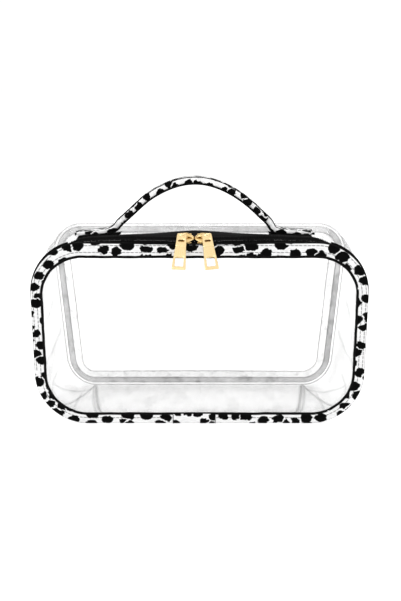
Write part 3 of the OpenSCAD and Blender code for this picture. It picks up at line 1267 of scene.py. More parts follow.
@dataclass
class ClearWalls:
    """The clear sheets of the bag: front, back, gusset and top."""

    sizes: Sizes
    dresser: Dresser
    thick: float = 0.45 * MM

    def panel(self, outline: Outline, y: float, bulge: float, seed: float) -> tuple:
        """A standing panel: a share v of the way from the middle to the
        outline at share u, pushed out by the bulge, fading to the edge.

        Args:
            outline: the outline that it fills.
            y: where the sheet stands.
            bulge: how far its middle stands out.
            seed: moves the pattern, so that two are not alike.

        Returns:
            The points, their directions and their flat coordinates.
        """
        u = np.linspace(0, 1, 161)[None, :]
        v = np.linspace(0.0, 1, 40)[:, None] ** 0.9
        edge = outline.at(u)
        middle = np.array([0, (outline.low + outline.high) / 2])
        xz = middle + (edge - middle) * v[..., None]
        fade = 1 - v**4
        wave = wander(xz[..., 0] * 26, xz[..., 1] * 22, seed)
        y_all = y - bulge * fade * (1 - 0.6 * v**2) - 0.5 * MM * fade * wave
        points = lift_xz(xz, y_all)
        normal = np.broadcast_to([0.0, 1.0, 0.0], points.shape)
        return points, normal, xz

    def build_panels(self) -> None:
        """Makes the front and the back panel."""
        s = self.sizes
        front = s.front.inset(1.1 * MM)
        points, normal, xz = self.panel(front, s.front_y - 0.47 * MM, 1.6 * MM, 1.0)
        made = sheet("front_sheet", points, normal, self.thick, xz)
        self.dresser.dress(made, VINYL, "clear_sheet", "bag", ["front_panel"])
        back = s.outline_at(s.back_y - 0.6 * MM)
        points, normal, xz = self.panel(back, s.back_y - 0.48 * MM, -1.2 * MM, 2.4)
        made = sheet("back_sheet", points, normal, self.thick, xz)
        self.dresser.dress(made, VINYL, "clear_sheet", "bag", ["back_panel"])

    @staticmethod
    def creases(part: Array, inside: float) -> Array:
        """How deep the gusset's creases are at each place round it, 0 to 1.

        Each crease is a straight line from one place to another, as a share
        of the way round from the bottom's middle and of the way back; its
        depth falls as a bell curve with the distance from that line.

        Args:
            part: how far round, as a share.
            inside: how far back, as a share.

        Returns:
            The height of the creases.
        """
        lines = (
            (0.272, 0.00, 0.290, 1.00, 0.0034, 1.0),
            (0.285, 0.05, 0.299, 1.00, 0.0028, 0.6),
            (0.292, 1.00, 0.405, 0.06, 0.0034, 0.7),
            (0.300, 0.88, 0.470, 0.35, 0.0040, 0.4),
            (0.345, 0.70, 0.365, 0.05, 0.0030, 0.35),
            (0.905, 0.12, 0.885, 0.85, 0.0045, 0.45),
            (0.935, 0.20, 0.945, 0.92, 0.0040, 0.4),
            (0.860, 0.25, 0.845, 0.90, 0.0040, 0.3),
            (0.540, 0.08, 0.600, 0.90, 0.0050, 0.3),
            (0.640, 0.00, 0.700, 0.75, 0.0045, 0.25),
            (0.450, 0.15, 0.490, 0.60, 0.0045, 0.3),
        )
        round_, back = 0.2275, 0.080
        total = np.zeros_like(part)
        for side in (1.0, -1.0):
            p = part * side * round_
            for u0, v0, u1, v1, wide, deep in lines:
                shift = 0.0 if side > 0 else 0.006
                ax, ay = (u0 + shift) * round_, v0 * back
                dx, dy = (u1 - u0) * round_, (v1 - v0) * back
                size = math.hypot(dx, dy)
                px, py = p - ax, inside * back - ay
                run = (px * dx + py * dy) / size
                off = (px * dy - py * dx) / size
                ends = np.clip(np.minimum(run, size - run) / 0.006 + 0.4, 0, 1)
                total += deep * ends * np.exp(-((off / (wide * round_ * 1.2)) ** 2))
        return np.clip(total, 0, 1)

    def build_gusset(self) -> None:
        """Makes the gusset: outlines between front and back, open between the
        mouth's two ends, pushed in and out by slow waves and long creases.
        """
        s = self.sizes
        y = np.linspace(s.front_y + 0.7 * MM, s.back_y - 0.7 * MM, 54)
        part = np.linspace(-1, 1, 561)
        points, normals, uvs, marks = [], [], [], []
        for depth in y:
            outline = s.outline_at(float(depth))
            share = part * outline.share_at_top(s.mouth + 0.2 * MM)
            xz, out = outline.at(share), outline.normal(share)
            inside = float((depth - y[0]) / (y[-1] - y[0]))
            fade = math.sin(math.pi * min(max(inside, 0), 1)) ** 0.7
            floor_fade = np.clip((xz[:, 1] - 1.0 * MM) / (6 * MM), 0.15, 1)
            wave = wander(part * 17, np.full_like(part, inside * 5.0), 4.2)
            mark = self.creases(part, inside)
            near_mouth = np.exp(-(((1 - np.abs(part)) * 0.2275 / 0.014) ** 2))
            xz[:, 1] -= s.sag(np.array(s.mouth), np.array(depth)) * near_mouth
            push = 0.9 * MM * wave * fade * floor_fade - 0.5 * MM * mark * fade
            points.append(lift_xz(xz + out * push[:, None], depth))
            normals.append(lift_xz(-out, 0.0))
            marks.append(mark)
            uvs.append(np.stack([part * 0.3, np.full_like(part, inside * 0.08)], -1))
        made = sheet(
            "gusset_sheet", np.array(points), np.array(normals), self.thick, np.array(uvs)
        )
        # The crease depths, which the gusset's material also darkens as painted shade.
        held = made.data.attributes.new("crease", "FLOAT", "POINT")
        held.data.foreach_set("value", np.tile(np.array(marks).ravel(), 2).astype(np.float32))
        self.dresser.dress(made, WALL_VINYL, "clear_gusset", "bag", ["side_gusset"])

    def build_top(self) -> None:
        """Makes the top panel in two halves."""
        s = self.sizes
        for name, sign in (("left", -1.0), ("right", 1.0)):
            x = sign * np.linspace(0, s.mouth, 60)[None, :]
            inside = np.linspace(0, 1, 44)[:, None]
            front = s.tape_end(x) - 2.4 * MM
            xx = np.broadcast_to(x, (44, 60))
            yy = front + inside * (s.back_y - 0.9 * MM - front)
            z = s.top_height(xx, yy)
            fade = np.sin(math.pi * inside) * np.cos(xx / s.mouth * math.pi / 2)
            dip = wander(xx * 30, yy * 60, 7.0)
            z = z + fade * (0.5 * MM + 0.6 * MM * dip)
            points = np.stack([xx, yy, z], -1)
            normal = np.broadcast_to([0.0, 0.0, -1.0], points.shape)
            made = sheet(f"top_sheet_{name}", points, normal, self.thick, points[..., :2])
            self.dresser.dress(made, TOP_VINYL, "clear_sheet", None, ["top_panel"])
            bend_mouth(made)


def bend_mouth(piece: Any) -> None:
    """Bakes a piece of the mouth's placement into its mesh.

    Args:
        piece: the object.
    """
    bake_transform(piece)


@dataclass
class Bindings:
    """The folded tapes over the seams, and their stitches."""

    sizes: Sizes
    dresser: Dresser
    wide: float = 7.5 * MM
    wide_top: float = 9.5 * MM
    lap: tuple[float, float] = (-19.5 * MM, 11.5 * MM)

    def leaf_width(self, share: Array) -> Array:
        """Width of the tape: wider along the top, with a smooth change round
        the top corners.

        Args:
            share: the place, as a share of the whole.

        Returns:
            The width.
        """
        away = np.abs(share - 0.5)
        t = np.clip((away - 0.10) / 0.10, 0, 1)
        return self.wide_top + (self.wide - self.wide_top) * t * t * (3 - 2 * t)

    def build_front(self) -> None:
        """Carries the folded tape round the front: out of the slot, over the
        fold and down the rear leaf, with a rounded fold 2 mm thick.
        """
        s = self.sizes
        share = np.linspace(0, 1, 481)[:-1]
        xz, out = s.front.at(share), s.front.normal(share)
        depth = self.leaf_width(share)
        rear = np.where(np.abs(share - 0.5) < 0.205, 2.0 * MM, 5.9 * MM)
        ring = np.concatenate([rear[-12:], rear, rear[:12]])
        blend = np.convolve(ring, np.ones(25) / 25, "valid")
        t = np.linspace(0, math.pi, 9)
        leaf, mid = 0.95 * MM, s.front_y
        fold = np.stack([-np.sin(t) * 0.9 * MM + 0.9 * MM, -np.cos(t) * leaf], 1)
        wave = 0.10 * MM * wander(share * 210, share * 0, 3.0)
        dip = 1.1 * MM * np.exp(-(((xz[:, 0] + 3.6 * MM) / (46 * MM)) ** 2))
        dip = dip * (share > 0.3) * (share < 0.7)
        rows = []
        for inset, y in (
            (depth, -0.52 * MM),
            (depth, -0.92 * MM),
            (depth * 0.985, -1.02 * MM),
            (depth * 0.6, -1.0 * MM),
            (depth * 0.3, -1.02 * MM),
        ):
            rows.append((inset, np.full_like(share, y) - wave * (inset / depth)))
        for a, b in fold:
            rows.append((np.full_like(share, a), np.full_like(share, b)))
        for inset, y in ((blend * 0.5, 0.98 * MM), (blend, 0.95 * MM), (blend, 0.56 * MM)):
            rows.append((inset, np.full_like(share, y)))
        rows.append((np.full_like(share, 1.2 * MM), np.full_like(share, 0.52 * MM)))
        rows.append((np.full_like(share, 1.2 * MM), np.full_like(share, -0.50 * MM)))
        grid = np.stack(
            [lift_xz(xz - out * a[:, None], mid + b) for a, b in rows], 1
        )
        near = np.stack([np.clip(1 - a / depth, 0, 1) for a, _ in rows], 1)
        grid[..., 2] -= dip[:, None] * near
        run = share * 0.69
        uv = np.stack(
            np.broadcast_arrays(run[:, None], np.linspace(0, 0.02, len(rows))[None]), -1
        )
        made = outward(surface("front_binding_tape", grid, (True, True), uv))
        self.dresser.dress(made, SPOTS, "printed_tape", "bag", ["front_binding"])

    def build_edges(self) -> None:
        """Makes the black edges of the tape: its lining, just inside the
        print, and a thin black line round the outside of the fold, painted shade
        where the fold turns away.
        """
        s = self.sizes
        share = np.linspace(0, 1, 481)[:-1]
        xz, out = s.front.at(share), s.front.normal(share)
        side = lift_xz(out, 0.0)
        ahead = np.broadcast_to([0.0, 1.0, 0.0], side.shape)
        depth = self.leaf_width(share) + 0.25 * MM + 0.2 * MM * wander(share * 90, share, 1.7)
        path = lift_xz(xz - out * depth[:, None], s.front_y - 0.80 * MM)
        section = rounded_box(2.0 * MM, 0.6 * MM, 0.25 * MM, 3)
        made = sweep("binding_lining_edge", path, side, ahead, section, True)
        self.dresser.dress(made, LINING_BLACK, "black_lining", "bag")
        # Painted shade: a thin black line round the outside of the fold, where it turns away.
        away = np.abs(share - 0.5)
        swell = 1 + 0.7 * np.clip((0.21 - away) / 0.06, 0, 1)
        dip = 1.1 * MM * np.exp(-(((xz[:, 0] + 3.6 * MM) / (46 * MM)) ** 2)) * (away < 0.2)
        path = lift_xz(xz - out * 0.1 * MM, s.front_y + 0.55 * MM)
        path[:, 2] -= dip
        section = rounded_box(0.7 * MM, 1.5 * MM, 0.3 * MM, 3)[None] * swell[:, None, None]
        made = sweep("binding_outer_cord", path, side, ahead, section, True)
        self.dresser.dress(made, LINING_BLACK, "black_lining", "bag")

    def build_lap(self) -> None:
        """Makes the lapped end of the tape at the bottom: a second folded
        layer, proud of the first by its own thickness.
        """
        s = self.sizes
        x = np.linspace(self.lap[0], self.lap[1], 60)
        t = np.linspace(-math.pi / 2, math.pi / 2, 9)
        ends = np.clip(np.minimum(x - x[0], x[-1] - x) / (0.8 * MM), 0, 1) ** 0.5
        rows = []
        out_y, in_y = 1.42 * MM, 1.06 * MM
        rows += [(7.6 * MM, -in_y), (7.75 * MM, -(in_y + out_y) / 2), (7.6 * MM, -out_y)]
        rows += [(z, -out_y) for z in (5 * MM, 3 * MM)]
        rows += [(1.2 * MM - 1.2 * MM * math.cos(a), out_y * math.sin(a)) for a in t]
        rows += [(3 * MM, out_y), (5.6 * MM, out_y), (5.6 * MM, in_y), (3 * MM, in_y)]
        rows += [(1.3 * MM, 0.9 * MM), (0.35 * MM, 0.0), (1.3 * MM, -0.9 * MM), (3 * MM, -in_y)]
        z = np.array([r[0] for r in rows])[None, :]
        y = np.array([r[1] for r in rows])[None, :] * (0.94 + 0.06 * ends[:, None])
        wave = 0.12 * MM * wander(x[:, None] * 400, z * 0, 5.0)
        grid = np.stack(np.broadcast_arrays(x[:, None], s.front_y + y, z + wave * (z > 7 * MM)), -1)
        caps = [np.broadcast_to(grid[i].mean(0), grid[i].shape)[None] for i in (0, -1)]
        full = np.concatenate([caps[0], grid, caps[1]])
        made = outward(surface("lap_tape", full, (False, True), full[..., [0, 2]]))
        for tag, end in (("left", self.lap[0]), ("right", self.lap[1])):
            z = np.linspace(0.2 * MM, 7.9 * MM, 14)
            path = np.stack([np.full_like(z, end), np.full_like(z, s.front_y - 1.25 * MM), z], 1)
            side = np.broadcast_to([1.0, 0.0, 0.0], path.shape)
            ahead = np.broadcast_to([0.0, 1.0, 0.0], path.shape)
            bar = rounded_box(0.5 * MM, 0.6 * MM, 0.2 * MM, 3)
            edge = sweep(f"lap_end_{tag}", path, side, ahead, bar)
            self.dresser.dress(edge, LINING_BLACK, "black_lining", "bag")
        self.dresser.dress(made, LAP_SPOTS, "printed_tape", "bag", ["binding_overlap"])

    def build_back(self) -> None:
        """Makes the clear tape folded round the inner back seam: a flattened
        ring with bead edges, gathered in waves at the corners.
        """
        s = self.sizes
        outline = s.outline_at(s.back_y - 0.6 * MM).inset(2.3 * MM)
        share = np.linspace(0, 1, 601)[:-1]
        xz, out = outline.at(share), outline.normal(share)
        corner = np.abs(np.sin(share * 2 * math.pi * 2)) ** 1.5
        gather = wander(share * 330, share * 0, 2.0)
        width = 11.4 * MM + 0.4 * MM * wander(share * 40, share, 6.0)
        t = np.linspace(0, 2 * math.pi, 25)[:-1]
        across = 0.5 - 0.5 * np.cos(t)
        thick = 0.55 * MM * np.sign(np.sin(t)) * np.abs(np.sin(t)) ** 0.3
        thick = thick * (1 + 0.9 * np.abs(np.cos(t)) ** 6)
        lean = (0.9 * MM + 2.4 * MM * corner * (0.5 + 0.5 * gather))[:, None] * across**1.4
        y = s.back_y - 1.35 * MM - lean + thick[None]
        inset = width[:, None] * across[None] + 0.5 * MM * (corner * gather)[:, None] * across
        grid = lift_xz(xz[:, None] - out[:, None] * inset[..., None], y)
        uv = np.stack(np.broadcast_arrays((share * 0.69)[:, None], across[None]), -1)
        made = outward(surface("back_seam_tape", grid, (True, True), uv))
        self.dresser.dress(made, SEAM_TAPE, "clear_seam_tape", "bag", ["back_binding"])
        bead = s.outline_at(s.back_y - 0.6 * MM).inset(0.5 * MM)
        path = lift_xz(bead.at(share), s.back_y - 0.55 * MM)
        made = sweep(
            "back_seam_bead",
            path,
            lift_xz(bead.normal(share), 0.0),
            np.broadcast_to([0.0, 1.0, 0.0], path.shape),
            rounded_box(1.0 * MM, 1.0 * MM, 0.45 * MM, 4),
            True,
        )
        self.dresser.dress(made, SEAM_BEAD, "clear_seam_tape", "bag")

    def stitch_row(
        self, name: str, path: Array, normal: Array, recipe: Any, body: str, slot: str
    ) -> Any:
        """Lays stitches end to end along a path and sinks their ends: each is
        a rounded bead, long along the path and thin across it.

        Args:
            name: the object's name.
            path: where the row runs.
            normal: the direction out of the cloth, for each point.
            recipe: the thread's finish.
            body: the body that it rides on, or "" for none.
            slot: the name of a material slot, passed on.

        Returns:
            The object.
        """
        run = lengths(path)
        pitch, long = 3.0 * MM, 2.7 * MM
        mid = np.arange(pitch / 2, run[-1], pitch)
        place = np.stack([np.interp(mid, run, path[:, i]) for i in range(3)], 1)
        ahead = np.stack([np.interp(mid + 0.4 * MM, run, path[:, i]) for i in range(3)], 1) - place
        ahead /= np.linalg.norm(ahead, axis=1, keepdims=True) + 1e-12
        up = np.stack([np.interp(mid, run, normal[:, i]) for i in range(3)], 1)
        side = np.cross(ahead, up)
        size = (long / 2, 0.32 * MM, 0.22 * MM)
        return self._beads(name, place, (ahead, side, up), size, recipe, body, slot)

    def _beads(
        self,
        name: str,
        place: Array,
        axes: tuple[Array, Array, Array],
        size: tuple[float, float, float],
        recipe: Any,
        body: str,
        slot: str,
    ) -> Any:
        """Many small closed beads in one mesh, each with its own three axes.

        Args:
            name: the object's name.
            place: the beads' middles.
            axes: each bead's three directions.
            size: half the size along each direction.
            recipe: the finish.
            body: the body that it rides on.
            slot: the name of a material slot, passed on.

        Returns:
            The object.
        """
        u = np.linspace(0, 2 * math.pi, 7)[:-1]
        v = np.linspace(-math.pi / 2, math.pi / 2, 6)
        uu, vv = np.meshgrid(u, v, indexing="xy")
        p = np.sin(vv) * size[0]
        q = np.cos(vv) ** 0.6 * np.cos(uu) * size[1]
        r = np.cos(vv) ** 0.6 * np.sin(uu) * size[2]
        grid = (
            place[:, None, None]
            + axes[0][:, None, None] * p[None, ..., None]
            + axes[1][:, None, None] * q[None, ..., None]
            + axes[2][:, None, None] * r[None, ..., None]
        )
        count, rows, cols = grid.shape[:3]
        one = grid_faces(rows, cols, False, True)
        faces = (one[None] + (np.arange(count) * rows * cols)[:, None, None]).reshape(-1, 4)
        made = outward(make_mesh(name, grid.reshape(-1, 3), faces))
        return self.dresser.dress(made, recipe, slot, body or None)

    def build_stitches(self) -> None:
        """Sews the front tape with two rows along the top and one elsewhere,
        and the back tape with one row.
        """
        s = self.sizes
        share = np.linspace(0.0, 1.0, 700)
        out = np.broadcast_to([0.0, -1.0, 0.0], (700, 3))
        y = s.front_y - 1.06 * MM
        for name, inset in (("outer", 1.7 * MM), ("inner", None)):
            if inset is None:
                depth = self.leaf_width(share) - 2.9 * MM
                keep = share >= 0
            else:
                depth = np.full_like(share, inset)
                keep = np.abs(share - 0.5) < 0.30
            xz = s.front.at(share) - s.front.normal(share) * depth[:, None]
            row = lift_xz(xz, y)[keep]
            name = f"binding_stitches_{name}"
            self.stitch_row(name, row, out[keep], SEWN_SPOTS, "bag", "printed_tape")
        outline = s.outline_at(s.back_y - 0.6 * MM).inset(7.4 * MM)
        path = lift_xz(outline.at(share), s.back_y - 2.75 * MM)
        self.stitch_row("back_tape_stitches", path, out, CLEAR_THREAD, "bag", "clear_seam_tape")


@dataclass
class Zip:
    """The two-way zip: tapes, coils and the row of stitches on its rear tape."""

    sizes: Sizes
    dresser: Dresser
    bindings: Bindings

    def line(self, x: Array, across: Array, up: Array) -> Array:
        """A point of the zip: across and up in its tilted plane, on a line
        that rises a little in the middle and drops past the corners' start.

        Args:
            x: the place along the bag.
            across: how far across the chain.
            up: how far out of the chain.

        Returns:
            The points.
        """
        s = self.sizes
        past = np.clip(np.abs(x) - (s.mouth - 18 * MM), 0, 29 * MM)
        drop = 30 * MM - np.sqrt((30 * MM) ** 2 - past**2)
        y = s.zip_y + across * math.cos(s.tilt) - up * math.sin(s.tilt)
        z = s.zip_z + across * math.sin(s.tilt) + up * math.cos(s.tilt) - drop
        z = z + s.chain_dip(x)
        return np.stack(np.broadcast_arrays(x, y, z), -1)

    def build_front_tape(self) -> None:
        """Makes the front tape, from the binding up to the coil."""
        s = self.sizes
        x = np.linspace(-s.mouth + 0.3 * MM, s.mouth - 0.3 * MM, 240)[None, :]
        across = np.linspace(-6.3 * MM, 0.0, 12)[:, None]
        sag = -0.25 * MM * np.sin((across + 6.3 * MM) / (6.3 * MM) * math.pi)
        points = self.line(x, across, sag - 0.02 * MM)
        normal = -self.up_direction(points.shape)
        uv = np.stack(np.broadcast_arrays(x, across), -1)
        made = sheet("zip_front_tape", points, normal, 0.45 * MM, uv)
        self.dresser.dress(made, TAPE_BLACK, "zip_tape", "bag", ["front_zipper_tape"])

    def up_direction(self, shape: tuple) -> Array:
        """The direction out of the zip's plane."""
        s = self.sizes
        return np.broadcast_to([0.0, -math.sin(s.tilt), math.cos(s.tilt)], shape)

    def build_rear_tape(self) -> None:
        """Makes the rear tape in two halves: up past the coil, then bending
        back over the front edge of the top panel, whose height it meets.
        """
        s = self.sizes
        for name, sign in (("left", -1.0), ("right", 1.0)):
            x = sign * np.linspace(0, s.mouth - 0.2 * MM, 130)[None, :]
            narrow = 1 - 0.5 * np.clip((np.abs(x) - 80 * MM) / (17 * MM), 0, 1)
            across = np.array([[0.05], [2.2], [3.9]]) * MM * narrow
            near = self.line(x, across, np.array([[0.0], [-0.05], [-0.1]]) * MM)
            end_y = s.tape_end(x)
            end_z = s.top_height(x, end_y) + 0.55 * MM + 0.35 * MM * np.exp(-((x / (20 * MM)) ** 2))
            end = np.stack([x, end_y, end_z], -1)
            mid = near[2:] * 0.42 + end * 0.58
            mid[..., 2] += 0.85 * MM * (end_y - near[2:, :, 1]) / (9 * MM)
            knots = np.concatenate([near, mid, end])
            t = np.array([0, 0.16, 0.3, 0.62, 1.0])
            flat = np.concatenate([t[:, None], knots.reshape(5, -1)], 1)
            points = smooth_rows(flat, np.linspace(0, 1, 22)).reshape(22, -1, 3)
            uv = np.stack(np.broadcast_arrays(x, np.linspace(0, 13.5 * MM, 22)[:, None]), -1)
            normal = np.broadcast_to([0.0, -0.35, 0.93], points.shape)
            made = sheet(f"zip_rear_tape_{name}", points, normal, 0.4 * MM, uv)
            self.dresser.dress(made, TAPE_BLACK, "zip_tape", None, ["rear_zipper_tape"])
            bend_mouth(made)
            row = points[17]
            made = self.bindings.stitch_row(
                f"zip_rear_stitches_{name}",
                row + np.array([0, -0.15, 0.42]) * MM,
                np.broadcast_to([0.0, -0.2, 0.98], row.shape),
                Thread("black_thread", 0.03),
                "",
                "zip_tape",
            )
            bend_mouth(made)

    def coil(self, name: str, x: Array, side: float) -> Any:
        """One row of the coil: a loop every 1.25 mm, a flattened ring whose
        tip leans towards the other row. The loop at turn t is an oval of the
        row's width and height, carried round by a thin thread.

        Args:
            name: the object's name.
            x: the place along the bag.
            side: -1 or +1, the side of the chain.

        Returns:
            The object.
        """
        u = np.linspace(0, 2 * math.pi, 15)[:-1]
        v = np.linspace(0, 2 * math.pi, 6)[:-1]
        uu, vv = np.meshgrid(u, v, indexing="ij")
        thread = 0.34 * MM
        reach = 1.7 * MM + thread * np.cos(vv)
        tall = 0.62 * MM + thread * np.cos(vv)
        across = side * (1.45 * MM + reach * np.cos(uu))
        up = 1.0 * MM + tall * np.sin(uu)
        wide = thread * np.sin(vv) + 0.16 * MM * np.cos(uu)
        xx = x[:, None, None] + wide[None]
        grid = self.line(xx, np.broadcast_to(across, xx.shape), np.broadcast_to(up, xx.shape))
        rows, cols = uu.shape
        one = grid_faces(rows, cols, True, True)
        faces = (one[None] + (np.arange(len(x)) * rows * cols)[:, None, None]).reshape(-1, 4)
        return outward(make_mesh(name, grid.reshape(-1, 3), faces))

    def build_coils(self) -> None:
        """Makes the two rows of teeth, half a pitch apart."""
        s = self.sizes
        pitch = 1.25 * MM
        x = np.arange(-s.mouth + 1.5 * MM, s.mouth - 1.5 * MM, pitch)
        made = self.coil("zip_front_coil", x, -1.0)
        self.dresser.dress(made, COIL, "zip_teeth", "bag", ["front_zipper_teeth"])
        for name, sign in (("left", -1.0), ("right", 1.0)):
            half = x[x * sign > 0] + pitch / 2
            made = self.coil(f"zip_rear_coil_{name}", half, 1.0)
            self.dresser.dress(made, COIL, "zip_teeth", None, ["rear_zipper_teeth"])
            bend_mouth(made)

    def build_corner_tapes(self) -> None:
        """Carries the tape's ends on round the top corners, as a black band
        just outside the printed binding that thins to nothing down the side;
        where it thins it is painted shade along the binding's edge.
        """
        s = self.sizes
        for name, sign in (("left", -1.0), ("right", 1.0)):
            first = s.front.share_at_top(s.mouth - 6 * MM)
            share = np.linspace(first, 0.285, 90)
            if sign < 0:
                share = 1 - share
            xz, out = s.front.at(share), s.front.normal(share)
            t = np.linspace(0, 1, 90)
            ease = t * t * (3 - 2 * t)
            path = lift_xz(xz + out * (0.75 * MM - 0.55 * MM * ease)[:, None], s.front_y + 1.9 * MM)
            # Zip tape near the top; where the band thins down the side it is painted shade along
            # the binding's edge.
            size = np.stack([2.1 - 1.5 * ease, 1.6 - 1.0 * ease], 1)[:, None] * MM
            profile = rounded_box(1.0, 1.0, 0.3, 4)[None] * size
            made = sweep(
                f"zip_corner_tape_{name}",
                path,
                lift_xz(out, 0.0),
                np.broadcast_to([0.0, 1.0, 0.0], path.shape),
                profile,
            )
            self.dresser.dress(made, TAPE_BLACK, "zip_tape", "bag")


@dataclass
class Handle:
    """The strap: printed outside, black lining inside, tabs sewn down."""

    sizes: Sizes
    dresser: Dresser
    bindings: Bindings
    middle: float = -3.5 * MM
    half: float = 59.5 * MM
    width: float = 11 * MM

    def path(self) -> Array:
        """The strap's middle line, tab end to tab end, in x and z.

        Listed points: flat on the panel, a bend, an arch whose left foot
        swings out softly and whose right foot turns up sharply.

        Returns:
            The points.
        """
        top = self.sizes.top
        base = top + 2.0 * MM
        left = [(-90, base), (-84, base), (-74, base), (-66.5, base + 0.5 * MM)]
        right = [(57.5, base + 0.3 * MM), (64, base), (74, base), (83, base)]
        arch = (
            (-61.2, 4.2), (-56.5, 8.2), (-51.5, 12.6), (-44.5, 19.0), (-37.8, 24.7), (-30, 29.6),
            (-21.2, 33.7), (-12.3, 36.3), (-3.5, 37.2), (5.3, 36.4), (14.3, 33.8), (23.1, 29.6),
            (31, 24.6), (38.2, 18.9), (45.2, 12.4), (50, 7.9), (53.8, 3.6),
        )
        points = [(a * MM, c) for a, c in left]
        points += [(a * MM, top - 0.5 * MM + c * MM) for a, c in arch]
        points += [(a * MM, c) for a, c in right]
        rough = np.array(points)
        run = np.concatenate([[0], np.cumsum(np.linalg.norm(np.diff(rough, axis=0), axis=1))])
        table = np.concatenate([run[:, None], rough], 1)
        return smooth_rows(table, np.linspace(0, run[-1], 240))

    def place(self) -> tuple[Array, Array, Array, Array, Array]:
        """The path in space, its side and lift directions, its run along the
        strap, and how much of the flat tab each point still is.

        Returns:
            The points, both directions, the run, and how much is tab.
        """
        s = self.sizes
        flat = self.path()
        _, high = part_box("handle_strap")
        low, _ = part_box("handle_strap")
        y = (low[1] + high[1]) / 2
        path = lift_xz(flat, y)
        ahead = np.gradient(path, axis=0)
        ahead /= np.linalg.norm(ahead, axis=1, keepdims=True)
        side = np.broadcast_to([0.0, 1.0, 0.0], path.shape)
        lift = np.cross(ahead, side)
        run = lengths(path)
        end = np.minimum(run, run[-1] - run)
        tab = 1 - np.clip((end - 20 * MM) / (12 * MM), 0, 1)
        tab = tab * tab * (3 - 2 * tab)
        drop_y = s.top_height(path[:, 0], np.full(len(path), y)) - s.top
        settle = np.clip(1 - (path[:, 2] - s.top) / (6 * MM), 0, 1)
        path[:, 2] += drop_y * settle
        return path, side, lift, run, tab

    def build_strap(self) -> None:
        """Makes the printed outside: a stuffed, oval section on the arch that
        flattens to a doubled tape on the tabs.
        """
        path, side, lift, run, tab = self.place()
        t = np.linspace(0, 2 * math.pi, 33)[:-1]
        wide = self.width / 2 + tab * 0.3 * MM
        thick = self.stuffing(tab)
        power = 0.72 - 0.3 * tab
        cos, sin = np.cos(t), np.sin(t)
        a = np.sign(cos) * np.abs(cos)[None] ** 0.75 * wide[:, None]
        b = np.sign(sin) * np.abs(sin)[None] ** power[:, None] * thick[:, None]
        waves = 0.10 * MM * wander(run[:, None] * 500, t[None], 2.2) * (1 - 0.5 * tab[:, None])
        profile = np.stack([a, b + waves * (b > 0)], -1)
        made = sweep("strap_print", path, side, lift, profile)
        nodes = ["handle_strap", "handle_tab_left", "handle_tab_right"]
        self.dresser.dress(made, STRAP_SPOTS, "printed_strap", None, nodes)
        self.bend(made)

    def stuffing(self, tab: Array) -> Array:
        """Half the strap's thickness: full on the arch, thin on the tabs."""
        return 2.65 * MM - tab * 1.25 * MM

    def bend(self, piece: Any) -> None:
        """Bakes a piece of the strap's placement into its mesh."""
        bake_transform(piece)

    def build_lining(self) -> None:
        """Makes the black lining under the strap, a little narrower, and thin
        black beads along both edges of the strap, one low and one high on each.
        """
        path, side, lift, run, tab = self.place()
        keep = (run > 22 * MM) & (run < run[-1] - 22 * MM)
        half = self.width / 2
        drop = -self.stuffing(tab) + 0.1 * MM
        centre = path + lift * drop[:, None]
        profile = rounded_box(2 * half - 0.6 * MM, 1.2 * MM, 0.5 * MM, 4)
        made = sweep("strap_lining", centre[keep], side[keep], lift[keep], profile)
        self.dresser.dress(made, LINING_BLACK, "black_lining", None, ["handle_lining"])
        self.bend(made)
        thick = self.stuffing(tab)
        for name, sign in (("front", -1.0), ("rear", 1.0)):
            for tag, share, out, size in (("low", -0.86, 0.93, 0.9), ("high", 0.84, 0.80, 0.7)):
                edge = path + side * (sign * out * half) + lift * (thick * share)[:, None]
                made = sweep(
                    f"strap_edge_{name}_{tag}",
                    edge[keep],
                    side[keep],
                    lift[keep],
                    rounded_box(size * MM, size * MM, 0.3 * size * MM, 4),
                )
                self.dresser.dress(made, LINING_BLACK, "black_lining")
                self.bend(made)

    def build_patches(self) -> None:
        """Makes the lining patch under each tab, with a lip that shows where
        the strap bends up off the panel.
        """
        s = self.sizes
        for name, sign in (("left", -1.0), ("right", 1.0)):
            node = f"handle_patch_{name}"
            low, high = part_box(node)
            u = np.linspace(0, 1, 30)[:, None]
            v = np.linspace(-1, 1, 10)[None, :]
            start, end = (low[0], high[0] + 2 * MM) if sign < 0 else (high[0], low[0] - 2 * MM)
            x = start + (end - start) * u + 0 * v
            y = (low[1] + high[1]) / 2 + v * (self.width / 2 + 0.2 * MM) * (1 - 0.35 * u**6)
            lip = 1.5 * MM * np.clip((u - 0.8) / 0.2, 0, 1) ** 2
            z = s.top_height(x, y) + 0.15 * MM + lip * (1 - v**2 * 0.5)
            points = np.stack(np.broadcast_arrays(x, y, z), -1)
            normal = np.broadcast_to([0.0, 0.0, 1.0], points.shape)
            made = sheet(f"tab_lining_{name}", points, normal, 0.4 * MM, points[..., :2])
            self.dresser.dress(made, LINING_BLACK, "black_lining", None, [node])
            bend_mouth(made)

    def build_stitches(self) -> None:
        """Sews each tab down: a row along both edges and one across its end."""
        path, _, lift, run, _ = self.place()
        for name, sign in (("left", -1.0), ("right", 1.0)):
            near = run if sign < 0 else run[-1] - run
            keep = (near > 1.6 * MM) & (near < 25 * MM)
            rail = path[keep]
            order = rail if sign < 0 else rail[::-1]
            up = lift[keep][0]
            high = 1.5 * MM
            edge = 4.2 * MM
            one = order + np.array([0, -edge, high])
            two = order + np.array([0, edge, high])
            across = np.linspace(two[0], one[0], 12)
            loop = np.concatenate([two[::-1], across[1:-1], one])
            out = np.broadcast_to(up, loop.shape)
            name = f"tab_stitches_{name}"
            made = self.bindings.stitch_row(name, loop, out, SEWN_SPOTS, "", "printed_strap")
            bend_mouth(made)


